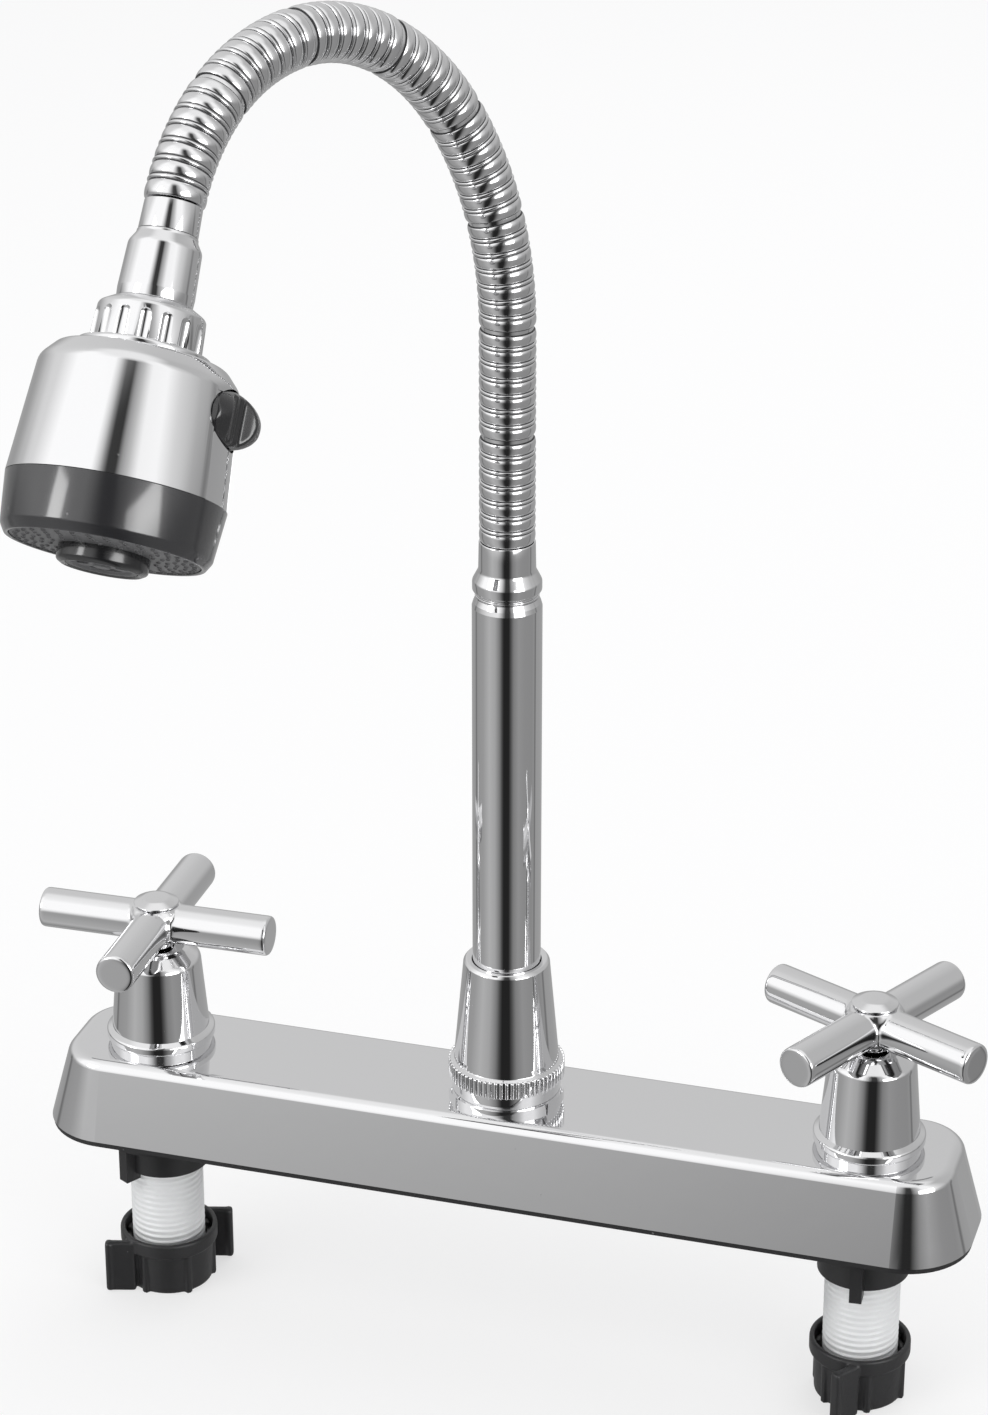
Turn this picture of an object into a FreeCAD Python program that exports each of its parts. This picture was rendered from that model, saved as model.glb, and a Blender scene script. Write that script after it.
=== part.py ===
import FreeCAD, Part
import math
import os

import Sketcher

from FreeCAD import Placement, Rotation, Vector

# A two-handle kitchen mixer tap for a deck with three holes. The origin is the middle of the
# base's underside, +X runs along the base to the right, +Y to the back and +Z up. All in mm.

SIZES = {
    # what the whole tap is set out by
    "handle_spacing": 203.2,
    "running_gap": 0.05,
    "free_gap": 0.3,
    # base plate: the black moulding that lies on the deck
    "base_length": 264.0,
    "base_width": 49.0,
    "base_corner": 19.0,
    "base_edge": 1.6,
    "base_inset": 0.4,
    "base_lip": 2.2,
    "pad_radius": 20.0,
    "pad_depth": 3.4,
    "boss_radius": 12.6,
    "boss_depth": 14.5,
    "fin_reach": 15.6,
    "fin_width": 3.4,
    "fin_depth": 16.8,
    "left_fin_bearing": -120.0,
    "right_fin_bearing": -86.0,
    # base cover: the plated shell
    "cover_top": 24.0,
    "cover_taper": 15.0,
    "cover_round": 3.4,
    "cover_wall": 1.6,
    "cover_screw_x": 58.0,
    "cover_screw_y": 13.0,
    "cover_boss_radius": 3.4,
    "screw_radius": 1.5,
    "screw_head_radius": 2.9,
    "screw_head_height": 1.4,
    "screw_length": 12.8,
    "screw_slot_width": 0.8,
    "screw_slot_depth": 0.7,
    # waterway: the body inside the cover
    "well_radius": 12.4,
    "well_bore": 8.6,
    "well_bottom": 6.4,
    "well_top": 22.2,
    "waterway_height": 14.0,
    "waterway_radius": 5.6,
    "waterway_bore": 3.8,
    "hub_neck_radius": 11.0,
    "hub_neck_top": 38.0,
    "hub_floor": 9.0,
    "hub_inlet_bore": 5.0,
    # shanks
    "shank_crest": 10.45,
    "thread_depth": 0.7,
    "thread_pitch": 1.814,
    "thread_turns": 27,
    "shank_bore": 6.4,
    "shank_bottom": 52.0,
    "shank_flange_radius": 14.0,
    "shank_flange_height": 2.6,
    "shank_spigot_height": 3.6,
    # lock nuts under the deck
    "nut_top": 36.5,
    "nut_height": 17.0,
    "nut_rim_radius": 13.95,
    "nut_rim_height": 4.4,
    "nut_body_radius": 12.7,
    "nut_foot_radius": 12.2,
    "nut_recess_radius": 12.5,
    "nut_recess_depth": 5.0,
    "nut_ring_height": 1.6,
    "wing_reach": 17.6,
    "wing_root": 5.0,
    "wing_offset": 9.4,
    "wing_thickness": 2.4,
    "wing_drop": 1.0,
    "nut_rib_radius": 1.1,
    "nut_rib_count": 6,
    # valves under the handles
    "cartridge_radius": 8.5,
    "cartridge_bottom": 12.2,
    "cartridge_top": 46.0,
    "cartridge_chamber_radius": 6.2,
    "cartridge_chamber_top": 22.0,
    "cartridge_port": 3.0,
    "cartridge_port_height": 16.0,
    "seat_height": 2.0,
    "seat_bore": 3.5,
    "stem_radius": 4.0,
    "stem_foot_radius": 5.8,
    "stem_foot_bottom": 13.0,
    "stem_foot_top": 21.6,
    "stem_shoulder": 50.0,
    "stem_tip_radius": 3.4,
    "stem_tip_gap": 0.2,
    # bonnets
    "bonnet_ring_radius": 14.2,
    "bonnet_ring_top": 25.5,
    "bonnet_bead_radius": 15.2,
    "bonnet_bead_low": 26.0,
    "bonnet_bead_high": 28.2,
    "bonnet_bead_round": 0.9,
    "bonnet_cone_foot_radius": 13.6,
    "bonnet_cone_foot": 29.2,
    "bonnet_cone_top_radius": 11.8,
    "bonnet_cone_top": 50.2,
    "bonnet_shoulder_round": 2.6,
    "bonnet_lip": 1.2,
    "bonnet_crown_radius": 8.6,
    "bonnet_top": 53.4,
    "bonnet_mouth_radius": 4.6,
    "bonnet_roof": 47.5,
    # cross handles
    "handle_gap": 0.6,
    "arm_radius": 5.6,
    "arm_reach": 33.4,
    "arm_chamfer": 0.7,
    "handle_foot_drop": 6.75,
    "handle_foot_radius": 4.9,
    "handle_waist_drop": 4.55,
    "handle_hub_radius": 7.4,
    "handle_hub_drop": 3.35,
    "handle_hub_rise": 3.65,
    "handle_crown_radius": 6.2,
    "handle_top_rise": 5.65,
    "handle_socket_rise": 2.05,
    "handle_shelf_height": 0.6,
    "handle_counterbore": 3.5,
    "handle_screw_head": 3.0,
    "handle_screw_head_height": 1.3,
    "handle_screw_radius": 1.5,
    "handle_screw_length": 9.0,
    "handle_slot_width": 0.9,
    "handle_slot_depth": 0.6,
    "button_radius": 5.8,
    "button_rim": 0.5,
    "button_crown": 2.2,
    "button_spigot": 3.3,
    "button_spigot_length": 1.6,
    "left_handle_turn": 1.0,
    "right_handle_turn": -26.0,
    # spout collar
    "collar_ring_radius": 15.9,
    "collar_ring_height": 1.7,
    "collar_plain_radius": 14.9,
    "collar_plain_top": 29.4,
    "knurl_radius": 15.9,
    "knurl_top": 34.7,
    "knurl_count": 64,
    "knurl_cut": 0.55,
    "collar_cone_radius": 14.3,
    "collar_flare": 1.6,
    "collar_top": 65.0,
    "collar_top_radius": 11.0,
    "collar_bore": 11.3,
    "collar_round": 0.9,
    "collar_shelf": 41.0,
    "collar_shelf_slope": 2.0,
    # spout tube
    "tube_radius": 9.25,
    "tube_wall": 1.5,
    "tube_bottom": 13.0,
    "tube_shoulder": 168.4,
    "tube_turn_radius": 8.9,
    "tube_turn": 169.6,
    "tube_lip_radius": 8.3,
    "tube_top": 171.0,
    "o_ring_low": 18.0,
    "o_ring_high": 29.0,
    "o_ring_height": 1.8,
    "o_ring_depth": 0.9,
    "clip_height": 1.4,
    "clip_radius": 10.7,
    "clip_depth": 0.6,
    "clip_opening": 70.0,
    "thrust_washer_height": 1.6,
    # fitting between the tube and the neck
    "fitting_spigot_length": 12.0,
    "fitting_groove_radius": 8.0,
    "fitting_groove_top": 171.8,
    "fitting_bulge_radius": 9.1,
    "fitting_bulge_low": 173.0,
    "fitting_bulge_high": 175.2,
    "fitting_bulge_round": 1.0,
    "fitting_sleeve_radius": 7.4,
    "fitting_sleeve_foot": 178.4,
    "fitting_sleeve_round": 1.8,
    "fitting_bore": 4.2,
    # flexible neck
    "neck_start": 186.5,
    "neck_heading": 244.0,
    "section_length": 29.05,
    "ribs_per_section": 7,
    "rib_crest_radius": 7.35,
    "rib_root_radius": 6.8,
    "rib_gap": 1.2,
    "rib_slope": 0.45,
    "neck_bore": 3.8,
    "ball_radius": 5.8,
    "socket_gap": 0.3,
    "joint_gap": 1.6,
    "bend_1": 0.0,
    "bend_2": 0.0,
    "bend_3": 9.0,
    "bend_4": 19.5,
    "bend_5": 30.5,
    "bend_6": 33.9,
    "bend_7": 29.6,
    "bend_8": 27.7,
    "sway_1": 0.0,
    "sway_2": 0.0,
    "sway_3": -9.5,
    "sway_4": -1.5,
    "sway_5": 0.0,
    "sway_6": 1.0,
    "sway_7": 2.4,
    "sway_8": 1.5,
    # fittings between the neck and the head, measured down from the end of the neck
    "end_sleeve_radius": 7.0,
    "end_sleeve_top": 0.3,
    "end_sleeve_foot": 7.3,
    "adapter_shoulder": 10.8,
    "adapter_shoulder_radius": 8.6,
    "adapter_radius": 9.05,
    "adapter_shoulder_round": 2.4,
    "adapter_foot": 24.0,
    "adapter_stem_radius": 8.0,
    "adapter_flange_radius": 10.2,
    "adapter_flange_top": 27.2,
    "adapter_flange_foot": 30.0,
    "adapter_bore": 4.5,
    "union_radius": 13.1,
    "union_crown_radius": 9.6,
    "union_crown": 24.2,
    "union_shoulder": 25.9,
    "union_foot": 34.6,
    "union_bore": 10.6,
    "union_shelf": 26.9,
    "union_taper": 0.5,
    "union_shoulder_round": 1.2,
    "union_flute_count": 16,
    "union_flute_radius": 1.5,
    "union_flute_top": 26.6,
    "washer_height": 1.5,
    # spray head
    "inlet_stub_radius": 10.5,
    "inlet_stub_top": 31.8,
    "inlet_disc_radius": 15.6,
    "inlet_disc_top": 34.9,
    "inlet_disc_foot": 36.8,
    "inlet_spigot_radius": 9.0,
    "inlet_spigot_foot": 41.0,
    "shell_roof_radius": 20.6,
    "shell_shoulder_radius": 23.4,
    "shell_shoulder": 41.2,
    "shell_foot_radius": 25.7,
    "shell_foot": 68.4,
    "shell_wall": 2.0,
    "shell_round": 1.5,
    "shell_panel_depth": 0.3,
    "shell_panel_angle": 46.0,
    "skirt_taper": 1.2,
    "skirt_foot": 80.6,
    "skirt_lip_step": 1.4,
    "skirt_bottom": 82.7,
    "skirt_spigot_wall": 1.7,
    "skirt_spigot_top": 63.0,
    "skirt_round": 0.9,
    "face_gap": 0.1,
    "face_top": 77.2,
    "face_bottom": 82.2,
    "face_hole": 9.3,
    "nozzle_radius": 0.55,
    "nozzle_inner_inset": 8.1,
    "nozzle_middle_inset": 5.0,
    "nozzle_outer_inset": 2.0,
    "nozzle_count_inner": 18,
    "nozzle_count_middle": 24,
    "nozzle_count_outer": 30,
    "aerator_radius": 10.7,
    "aerator_bottom": 86.6,
    "aerator_round": 1.2,
    "aerator_stem_radius": 9.2,
    "aerator_stem_top": 73.0,
    "aerator_bore": 8.4,
    "insert_top": 75.0,
    "insert_bottom": 86.0,
    "insert_slot_count": 3,
    "insert_slot_radius": 1.9,
    "insert_slot_ring": 5.2,
    "core_radius": 15.0,
    "core_flange_gap": 0.2,
    "core_flange_top": 60.0,
    "core_flange_foot": 62.9,
    "core_foot": 72.8,
    "core_bore": 5.0,
    # mode switch on the head
    "switch_bearing": -60.0,
    "switch_drop": 6.0,
    "switch_tilt": -18.0,
    "switch_length": 17.8,
    "switch_width": 13.6,
    "switch_slot_length": 21.8,
    "switch_slot_gap": 0.4,
    "switch_inner": 21.8,
    "switch_outer": 28.0,
    "switch_saddle": 25.3,
    "switch_edge": 1.0,
    "switch_round": 6.1,
    "switch_pivot": 19.5,
    "switch_ear_width": 4.6,
    "switch_ear_reach": 21.0,
    "switch_ear_thickness": 2.1,
    "switch_tail_end": 13.2,
    "switch_tail_thickness": 2.0,
    "switch_tail_width": 3.4,
    "pin_radius": 1.0,
    "plunger_radius": 2.5,
    "plunger_neck": 1.2,
    "plunger_length": 12.0,
    "plunger_groove": 2.8,
    "plunger_place": 11.5,
}

doc = FreeCAD.newDocument("kitchen_mixer_tap")


class Size:
    """A length that knows its value and the sheet expression it comes from."""

    def __init__(self, amount, text):
        self.amount = amount
        self.text = text

    def combine(self, other, sign, swapped=False):
        if not isinstance(other, Size):
            other = Size(float(other), repr(float(other)))
        first, second = (other, self) if swapped else (self, other)
        amounts = {
            "+": first.amount + second.amount,
            "-": first.amount - second.amount,
            "*": first.amount * second.amount,
        }
        return Size(amounts[sign], "(%s %s %s)" % (first.text, sign, second.text))

    def __add__(self, other):
        return self.combine(other, "+")

    def __radd__(self, other):
        return self.combine(other, "+", True)

    def __sub__(self, other):
        return self.combine(other, "-")

    def __rsub__(self, other):
        return self.combine(other, "-", True)

    def __mul__(self, other):
        return self.combine(other, "*")

    def __rmul__(self, other):
        return self.combine(other, "*", True)

    def __truediv__(self, number):
        return Size(self.amount / number, "(%s / %s)" % (self.text, float(number)))

    def __neg__(self):
        return Size(-self.amount, "(-1 * %s)" % self.text)

    def __float__(self):
        return self.amount


NOTHING = Size(0.0, "0")


class Sheet:
    """Gives each cell of the spreadsheet as a Size, by its name."""

    def __init__(self, values):
        self.cells = doc.addObject("Spreadsheet::Sheet", "sizes")
        for row, (name, amount) in enumerate(values.items(), start=1):
            self.cells.set("A%d" % row, name)
            self.cells.set("B%d" % row, str(amount))
            self.cells.setAlias("B%d" % row, name)
        doc.recompute()

    def __getattr__(self, name):
        return Size(float(self.cells.get(name)), "sizes." + name)


size = Sheet(SIZES)
pieces = {}


def keep(piece, label, place=None):
    """Labels a finished sub-part, puts it in its place and lists it for writing."""
    piece.Label = label
    if place is not None:
        piece.Placement = place
    pieces[label] = piece
    return piece


def bind(thing, field, amount):
    thing.setExpression(field, amount.text)


# Sketches and turned parts


def origin_plane(body, role):
    for feature in body.Origin.OriginFeatures:
        if feature.Role == role:
            return feature
    raise ValueError(role)


def new_sketch(body, role, name, offset=None):
    sketch = body.newObject("Sketcher::SketchObject", name)
    sketch.AttachmentSupport = [(origin_plane(body, role), "")]
    sketch.MapMode = "FlatFace"
    if offset is not None:
        bind(sketch, "AttachmentOffset.Base.z", offset)
    return sketch


def pin_point(sketch, geometry, end, across, up):
    """Ties one end of a line, or a centre, to its place from the sketch's origin."""
    for kind, amount in (("DistanceX", across), ("DistanceY", up)):
        number = sketch.addConstraint(
            Sketcher.Constraint(kind, -1, 1, geometry, end, amount.amount)
        )
        sketch.setExpression("Constraints[%d]" % number, amount.text)


def draw_polygon(sketch, corners):
    """Closed outline of straight lines, each corner bound to its own two sizes."""
    corners = [tuple(c if isinstance(c, Size) else Size(float(c), str(float(c))) for c in corner)
               for corner in corners]
    spots = [Vector(across.amount, up.amount, 0) for across, up in corners]
    for here, there in zip(spots, spots[1:] + spots[:1]):
        sketch.addGeometry(Part.LineSegment(here, there))
    count = len(corners)
    for number in range(count):
        sketch.addConstraint(
            Sketcher.Constraint("Coincident", number, 2, (number + 1) % count, 1)
        )
    for number, (across, up) in enumerate(corners):
        pin_point(sketch, number, 1, across, up)


def draw_circle(sketch, across, up, radius):
    number = sketch.addGeometry(
        Part.Circle(Vector(across.amount, up.amount, 0), Vector(0, 0, 1), radius.amount)
    )
    pin_point(sketch, number, 3, across, up)
    fixed = sketch.addConstraint(Sketcher.Constraint("Radius", number, radius.amount))
    sketch.setExpression("Constraints[%d]" % fixed, radius.text)


def draw_rounded_box(sketch, length, width, corner):
    """Rectangle with round corners, centred on the sketch's origin."""
    half_x = length / 2
    half_y = width / 2
    arcs = []
    for start, side_x, side_y in ((0, 1, 1), (90, -1, 1), (180, -1, -1), (270, 1, -1)):
        centre_x = (half_x - corner) * side_x
        centre_y = (half_y - corner) * side_y
        circle = Part.Circle(
            Vector(centre_x.amount, centre_y.amount, 0), Vector(0, 0, 1), corner.amount
        )
        first = math.radians(start)
        arcs.append(sketch.addGeometry(Part.ArcOfCircle(circle, first, first + math.pi / 2)))
        pin_point(sketch, arcs[-1], 3, centre_x, centre_y)
        fixed = sketch.addConstraint(Sketcher.Constraint("Radius", arcs[-1], corner.amount))
        sketch.setExpression("Constraints[%d]" % fixed, corner.text)
    for here, there in zip(arcs, arcs[1:] + arcs[:1]):
        first = sketch.getPoint(here, 2)
        second = sketch.getPoint(there, 1)
        line = sketch.addGeometry(Part.LineSegment(first, second))
        sketch.addConstraint(Sketcher.Constraint("Tangent", here, 2, line, 1))
        sketch.addConstraint(Sketcher.Constraint("Tangent", line, 2, there, 1))


def new_body(name):
    return doc.addObject("PartDesign::Body", name)


def revolve(body, corners, kind="PartDesign::Revolution", sweep=None):
    """Turns an outline of (radius, height) corners about the body's Z axis.

    A sweep makes only that part of a turn, half of it to each side of the X axis.
    """
    sketch = new_sketch(body, "XZ_Plane", body.Name + "_profile")
    draw_polygon(sketch, corners)
    feature = body.newObject(kind, body.Name + "_turned")
    feature.Profile = (sketch, [""])
    feature.ReferenceAxis = (sketch, ["V_Axis"])
    feature.Angle = 360
    if sweep:
        feature.Midplane = True
        bind(feature, "Angle", sweep)
    doc.recompute()
    return feature


def rings_at(shape, places):
    """Names of the circular edges about Z with these radii and heights."""
    names = []
    for number, edge in enumerate(shape.Edges, start=1):
        curve = edge.Curve
        if not isinstance(curve, Part.Circle):
            continue
        if abs(curve.Center.x) > 1e-3 or abs(curve.Center.y) > 1e-3:
            continue
        for radius, height in places:
            near = abs(curve.Radius - float(radius)) < 1e-3
            level = abs(curve.Center.z - float(height)) < 1e-3
            if near and level:
                names.append("Edge%d" % number)
    return names


def soften(body, names, amount, kind="PartDesign::Fillet"):
    """Rounds or chamfers the named edges of the body's last feature."""
    if not names:
        raise ValueError("no edges to soften on " + body.Name)
    last = body.Tip
    feature = body.newObject(kind, body.Name + "_soft")
    feature.Base = (last, names)
    bind(feature, "Radius" if kind.endswith("Fillet") else "Size", amount)
    doc.recompute()
    return feature


def round_rings(body, places, amount):
    return soften(body, rings_at(body.Tip.Shape, places), amount)


def turned(name, corners, rounds=(), place=None):
    """A whole piece turned from one outline, with some of its rims rounded."""
    body = new_body(name)
    revolve(body, corners)
    for places, amount in rounds:
        round_rings(body, places, amount)
    return keep(body, name, place)


def turned_ring(name, inner, outer, low, high, place=None):
    return turned(name, [(inner, low), (outer, low), (outer, high), (inner, high)], (), place)


def pad(body, draw, length, role="XY_Plane", start=None, both_ways=False, reverse=False,
        taper=None):
    """Pads a sketch drawn by draw, from the start height, by the length."""
    sketch = new_sketch(body, role, body.Name + "_outline", start)
    draw(sketch)
    feature = body.newObject("PartDesign::Pad", body.Name + "_pad")
    feature.Profile = (sketch, [""])
    feature.Midplane = both_ways
    feature.Reversed = reverse
    bind(feature, "Length", length)
    if taper is not None:
        bind(feature, "TaperAngle", taper)
    doc.recompute()
    return feature


def pocket(body, draw, length, role="XY_Plane", start=None, both_ways=False, reverse=False,
           taper=None):
    """Cuts a sketch drawn by draw into the body, and makes sure that it cut something."""
    before = body.Shape.Volume
    sketch = new_sketch(body, role, body.Name + "_cut_outline", start)
    draw(sketch)
    feature = body.newObject("PartDesign::Pocket", body.Name + "_pocket")
    feature.Profile = (sketch, [""])
    feature.Midplane = both_ways
    feature.Reversed = reverse
    bind(feature, "Length", length)
    if taper is not None:
        bind(feature, "TaperAngle", taper)
    doc.recompute()
    if not body.Shape.Volume < before - 1e-6:
        raise ValueError("a pocket of %s cut nothing" % body.Name)
    return feature


def around(body, feature, count):
    """Repeats a feature around the body's Z axis."""
    pattern = body.newObject("PartDesign::PolarPattern", body.Name + "_around")
    pattern.Originals = [feature]
    pattern.Axis = (origin_plane(body, "Z_Axis"), [""])
    pattern.Angle = 360
    bind(pattern, "Occurrences", count)
    body.Tip = pattern
    doc.recompute()
    return pattern


def box_between(low_x, high_x, low_y, high_y):
    """A drawing function for a plain rectangle in a sketch."""
    corners = [(low_x, low_y), (high_x, low_y), (high_x, high_y), (low_x, high_y)]
    return lambda sketch: draw_polygon(sketch, corners)


def disc(across, up, radius):
    return lambda sketch: draw_circle(sketch, across, up, radius)


half_spacing = size.handle_spacing / 2
SIDES = (("left", -1), ("right", 1))


def at_side(side, height=0.0, turn=0.0):
    """Place of a piece that stands on the left or right valve axis."""
    return Placement(
        Vector(side * half_spacing.amount, 0, height), Rotation(Vector(0, 0, 1), turn)
    )


# Base: the black plate, the plated cover over it and the screws between them

plate_top = size.base_edge + size.base_lip
shank_hole = size.shank_crest + size.free_gap


def box_outline(inset, corner):
    """Drawing function for the base's outline, set in by this much."""
    return lambda sketch: draw_rounded_box(
        sketch, size.base_length - 2 * inset, size.base_width - 2 * inset, corner
    )


def fin_outline(axis, bearing):
    """Drawing function for a fin that runs out from a shank's axis at this bearing."""
    cosine = math.cos(math.radians(bearing))
    sine = math.sin(math.radians(bearing))
    half = size.fin_width / 2
    corners = []
    for out, aside in ((shank_hole, -half), (size.fin_reach, -half), (size.fin_reach, half),
                       (shank_hole, half)):
        corners.append((axis + out * cosine - aside * sine, out * sine + aside * cosine))
    return lambda sketch: draw_polygon(sketch, corners)


def make_base_plate():
    body = new_body("base_plate")

    edge = box_outline(size.base_inset, size.base_corner - size.base_inset)
    pad(body, edge, size.base_edge)
    inset = size.cover_wall + size.free_gap * 3
    lip = box_outline(inset, size.base_corner - inset)
    pad(body, lip, size.base_lip, start=size.base_edge)
    for side in (-1, 1):
        axis = half_spacing * side
        pad(body, disc(axis, NOTHING, size.pad_radius), size.pad_depth, reverse=True)
        pad(body, disc(axis, NOTHING, size.boss_radius), size.boss_depth, reverse=True)
        # a fin on each boss stops the plate turning in its deck hole
        bearing = size.left_fin_bearing if side < 0 else size.right_fin_bearing
        pad(body, fin_outline(axis, bearing.amount), size.fin_depth, reverse=True)
    for side in (-1, 1):
        axis = half_spacing * side
        deep = plate_top + size.fin_depth
        pocket(body, disc(axis, NOTHING, shank_hole), deep * 3, both_ways=True)
        for across in (-1, 1):
            for up in (-1, 1):
                if across == side:
                    spot_x = size.cover_screw_x * across
                    spot_y = size.cover_screw_y * up
                    hole = size.screw_radius + size.running_gap
                    pocket(body, disc(spot_x, spot_y, hole), plate_top * 4, both_ways=True)
                    head = size.screw_head_radius + size.free_gap
                    pocket(body, disc(spot_x, spot_y, head), size.screw_head_height, reverse=True)
    return keep(body, "base_plate")


def make_base_cover():
    body = new_body("base_cover")
    wall = size.cover_wall
    tall = size.cover_top - size.base_edge
    outline = box_outline(NOTHING, size.base_corner)
    pad(body, outline, tall, start=size.base_edge, taper=-size.cover_taper)
    rim = []
    for number, edge in enumerate(body.Tip.Shape.Edges, start=1):
        box = edge.BoundBox
        if abs(box.ZMin - size.cover_top.amount) < 1e-4 and box.ZLength < 1e-4:
            rim.append("Edge%d" % number)
    soften(body, rim, size.cover_round)
    inside = box_outline(wall, size.base_corner - wall)
    pocket(body, inside, tall - wall, start=size.base_edge, reverse=True, taper=-size.cover_taper)
    for across in (-1, 1):
        for up in (-1, 1):
            spot_x = size.cover_screw_x * across
            spot_y = size.cover_screw_y * up
            height = size.cover_top - wall / 2 - plate_top
            pad(body, disc(spot_x, spot_y, size.cover_boss_radius), height, start=plate_top)
            pocket(
                body,
                disc(spot_x, spot_y, size.screw_radius),
                height - wall,
                start=plate_top,
                reverse=True,
            )
    hole = size.cartridge_radius + size.free_gap
    for across, radius in ((-1, hole), (0, size.collar_bore), (1, hole)):
        opening = disc(half_spacing * across, NOTHING, radius)
        pocket(body, opening, wall * 3, start=size.cover_top - wall * 1.5, reverse=True)
    return keep(body, "base_cover")


def group(name, solids, place=None):
    """Several alike solids that share one node."""
    piece = doc.addObject("Part::Feature", name)
    piece.Shape = Part.makeCompound(solids)
    return keep(piece, name, place)


def make_cover_screws():
    solids = []
    height = size.screw_head_height.amount
    slot_length = size.screw_head_radius.amount * 2
    slot_width = size.screw_slot_width.amount
    for across in (-1, 1):
        for up in (-1, 1):
            spot = Vector(size.cover_screw_x.amount * across, size.cover_screw_y.amount * up, 0)
            head = Part.makeCylinder(size.screw_head_radius.amount, height, spot)
            shaft = Part.makeCylinder(size.screw_radius.amount, size.screw_length.amount, spot)
            corner = spot - Vector(slot_length / 2, slot_width / 2, 0)
            depth = size.screw_slot_depth.amount
            slot = Part.makeBox(slot_length, slot_width, depth, corner)
            solids.append(head.fuse(shaft).cut(slot).removeSplitter())
    return group("cover_screws", solids)


# Waterway: one moulding with two valve wells, the spout hub and the channels between them


def make_waterway():
    body = new_body("waterway_body")
    low = size.well_bottom
    tall = size.well_top - low
    hub = [
        (NOTHING, low),
        (size.well_radius, low),
        (size.well_radius, size.well_top),
        (size.hub_neck_radius, size.well_top),
        (size.hub_neck_radius, size.hub_neck_top),
        (NOTHING, size.hub_neck_top),
    ]
    revolve(body, hub)
    for side in (-1, 1):
        pad(body, disc(half_spacing * side, NOTHING, size.well_radius), tall, start=low)
    channel = disc(NOTHING, size.waterway_height, size.waterway_radius)
    pad(body, channel, size.handle_spacing, role="YZ_Plane", both_ways=True)
    for side in (-1, 1):
        well = disc(half_spacing * side, NOTHING, size.well_bore)
        pocket(body, well, tall * 3, start=low, both_ways=True)
    tube_well = disc(NOTHING, NOTHING, size.tube_radius + size.running_gap)
    depth = size.hub_neck_top - size.hub_floor
    pocket(body, tube_well, depth, start=size.hub_floor, reverse=True)
    bore = disc(NOTHING, size.waterway_height, size.waterway_bore)
    inner = size.handle_spacing - size.well_radius
    pocket(body, bore, inner, role="YZ_Plane", both_ways=True)
    return keep(body, "waterway_body")


# Shanks: white threaded tubes that carry the supplies up through the deck


def make_shank(label, side):
    pitch = size.thread_pitch
    root = size.shank_crest - size.thread_depth
    bottom = -size.shank_bottom
    corners = [(size.shank_bore, bottom), (root, bottom)]
    for turn in range(int(SIZES["thread_turns"])):
        foot = bottom + pitch * (turn + 0.25)
        corners.append((root, foot))
        corners.append((size.shank_crest, foot + pitch * 0.25))
        corners.append((size.shank_crest, foot + pitch * 0.5))
        corners.append((root, foot + pitch * 0.75))
    flange = plate_top
    flange_top = flange + size.shank_flange_height
    spigot = size.well_bore - size.running_gap
    spigot_top = flange_top + size.shank_spigot_height
    corners += [
        (root, flange),
        (size.shank_flange_radius, flange),
        (size.shank_flange_radius, flange_top),
        (spigot, flange_top),
        (spigot, spigot_top),
        (size.shank_bore, spigot_top),
    ]
    solid = doc.addObject("Part::Feature", label)
    points = [Vector(float(across), 0, float(up)) for across, up in corners]
    face = Part.Face(Part.makePolygon(points + points[:1]))
    solid.Shape = face.revolve(Vector(0, 0, 0), Vector(0, 0, 1), 360)
    return keep(solid, label, at_side(side))


# Lock nuts: black, with a loose ring in the mouth and two off-centre wings


def make_nut(label, side, turn):
    body = new_body(label)
    top = NOTHING
    rim = -size.nut_rim_height
    foot = -size.nut_height
    bore = size.shank_crest + size.free_gap
    step = (size.nut_rim_radius - size.nut_body_radius) * 0.5
    corners = [
        (bore, foot),
        (size.nut_foot_radius, foot),
        (size.nut_body_radius, rim - step),
        (size.nut_rim_radius, rim),
        (size.nut_rim_radius, top),
        (size.nut_recess_radius, top),
        (size.nut_recess_radius, -size.nut_recess_depth),
        (bore, -size.nut_recess_depth),
    ]
    revolve(body, corners)
    tall = size.nut_height - size.wing_drop
    for way in (-1, 1):
        offset = size.wing_offset * way
        blade = box_between(
            size.wing_root * way,
            size.wing_reach * way,
            offset - size.wing_thickness / 2,
            offset + size.wing_thickness / 2,
        )
        pad(body, blade, tall, start=foot)
    clear = disc(NOTHING, NOTHING, size.nut_recess_radius)
    pocket(body, clear, size.nut_recess_depth * 2, both_ways=True)
    pocket(body, disc(NOTHING, NOTHING, bore), size.nut_height * 4, both_ways=True)
    rib = disc(size.nut_body_radius - size.nut_rib_radius / 2, NOTHING, size.nut_rib_radius)
    one = pad(body, rib, size.nut_height - size.nut_recess_depth, start=foot)
    around(body, one, size.nut_rib_count)
    return keep(body, label, at_side(side, -size.nut_top.amount, turn))


def make_nut_ring(label, side):
    low = -size.nut_recess_depth + size.running_gap
    body = new_body(label)
    inner = size.shank_crest + size.free_gap
    outer = size.nut_recess_radius - size.free_gap
    high = low + size.nut_ring_height
    revolve(body, [(inner, low), (outer, low), (outer, high), (inner, high)])
    return keep(body, label, at_side(side, -size.nut_top.amount))


# Valves: cartridge, seat and stem under each handle. The handle's foot hangs just over the
# bonnet, its other heights are set out from the middle of its arms, and the stem's tip stops
# just short of the handle's socket.

handle_foot = size.bonnet_top + size.handle_gap
handle_height = handle_foot + size.handle_foot_drop
handle_waist = handle_height - size.handle_waist_drop
handle_hub_low = handle_height - size.handle_hub_drop
handle_hub_high = handle_height + size.handle_hub_rise
handle_top = handle_height + size.handle_top_rise
handle_socket_top = handle_height + size.handle_socket_rise
handle_shelf = handle_socket_top + size.handle_shelf_height
stem_tip_top = handle_socket_top - size.stem_tip_gap


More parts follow.
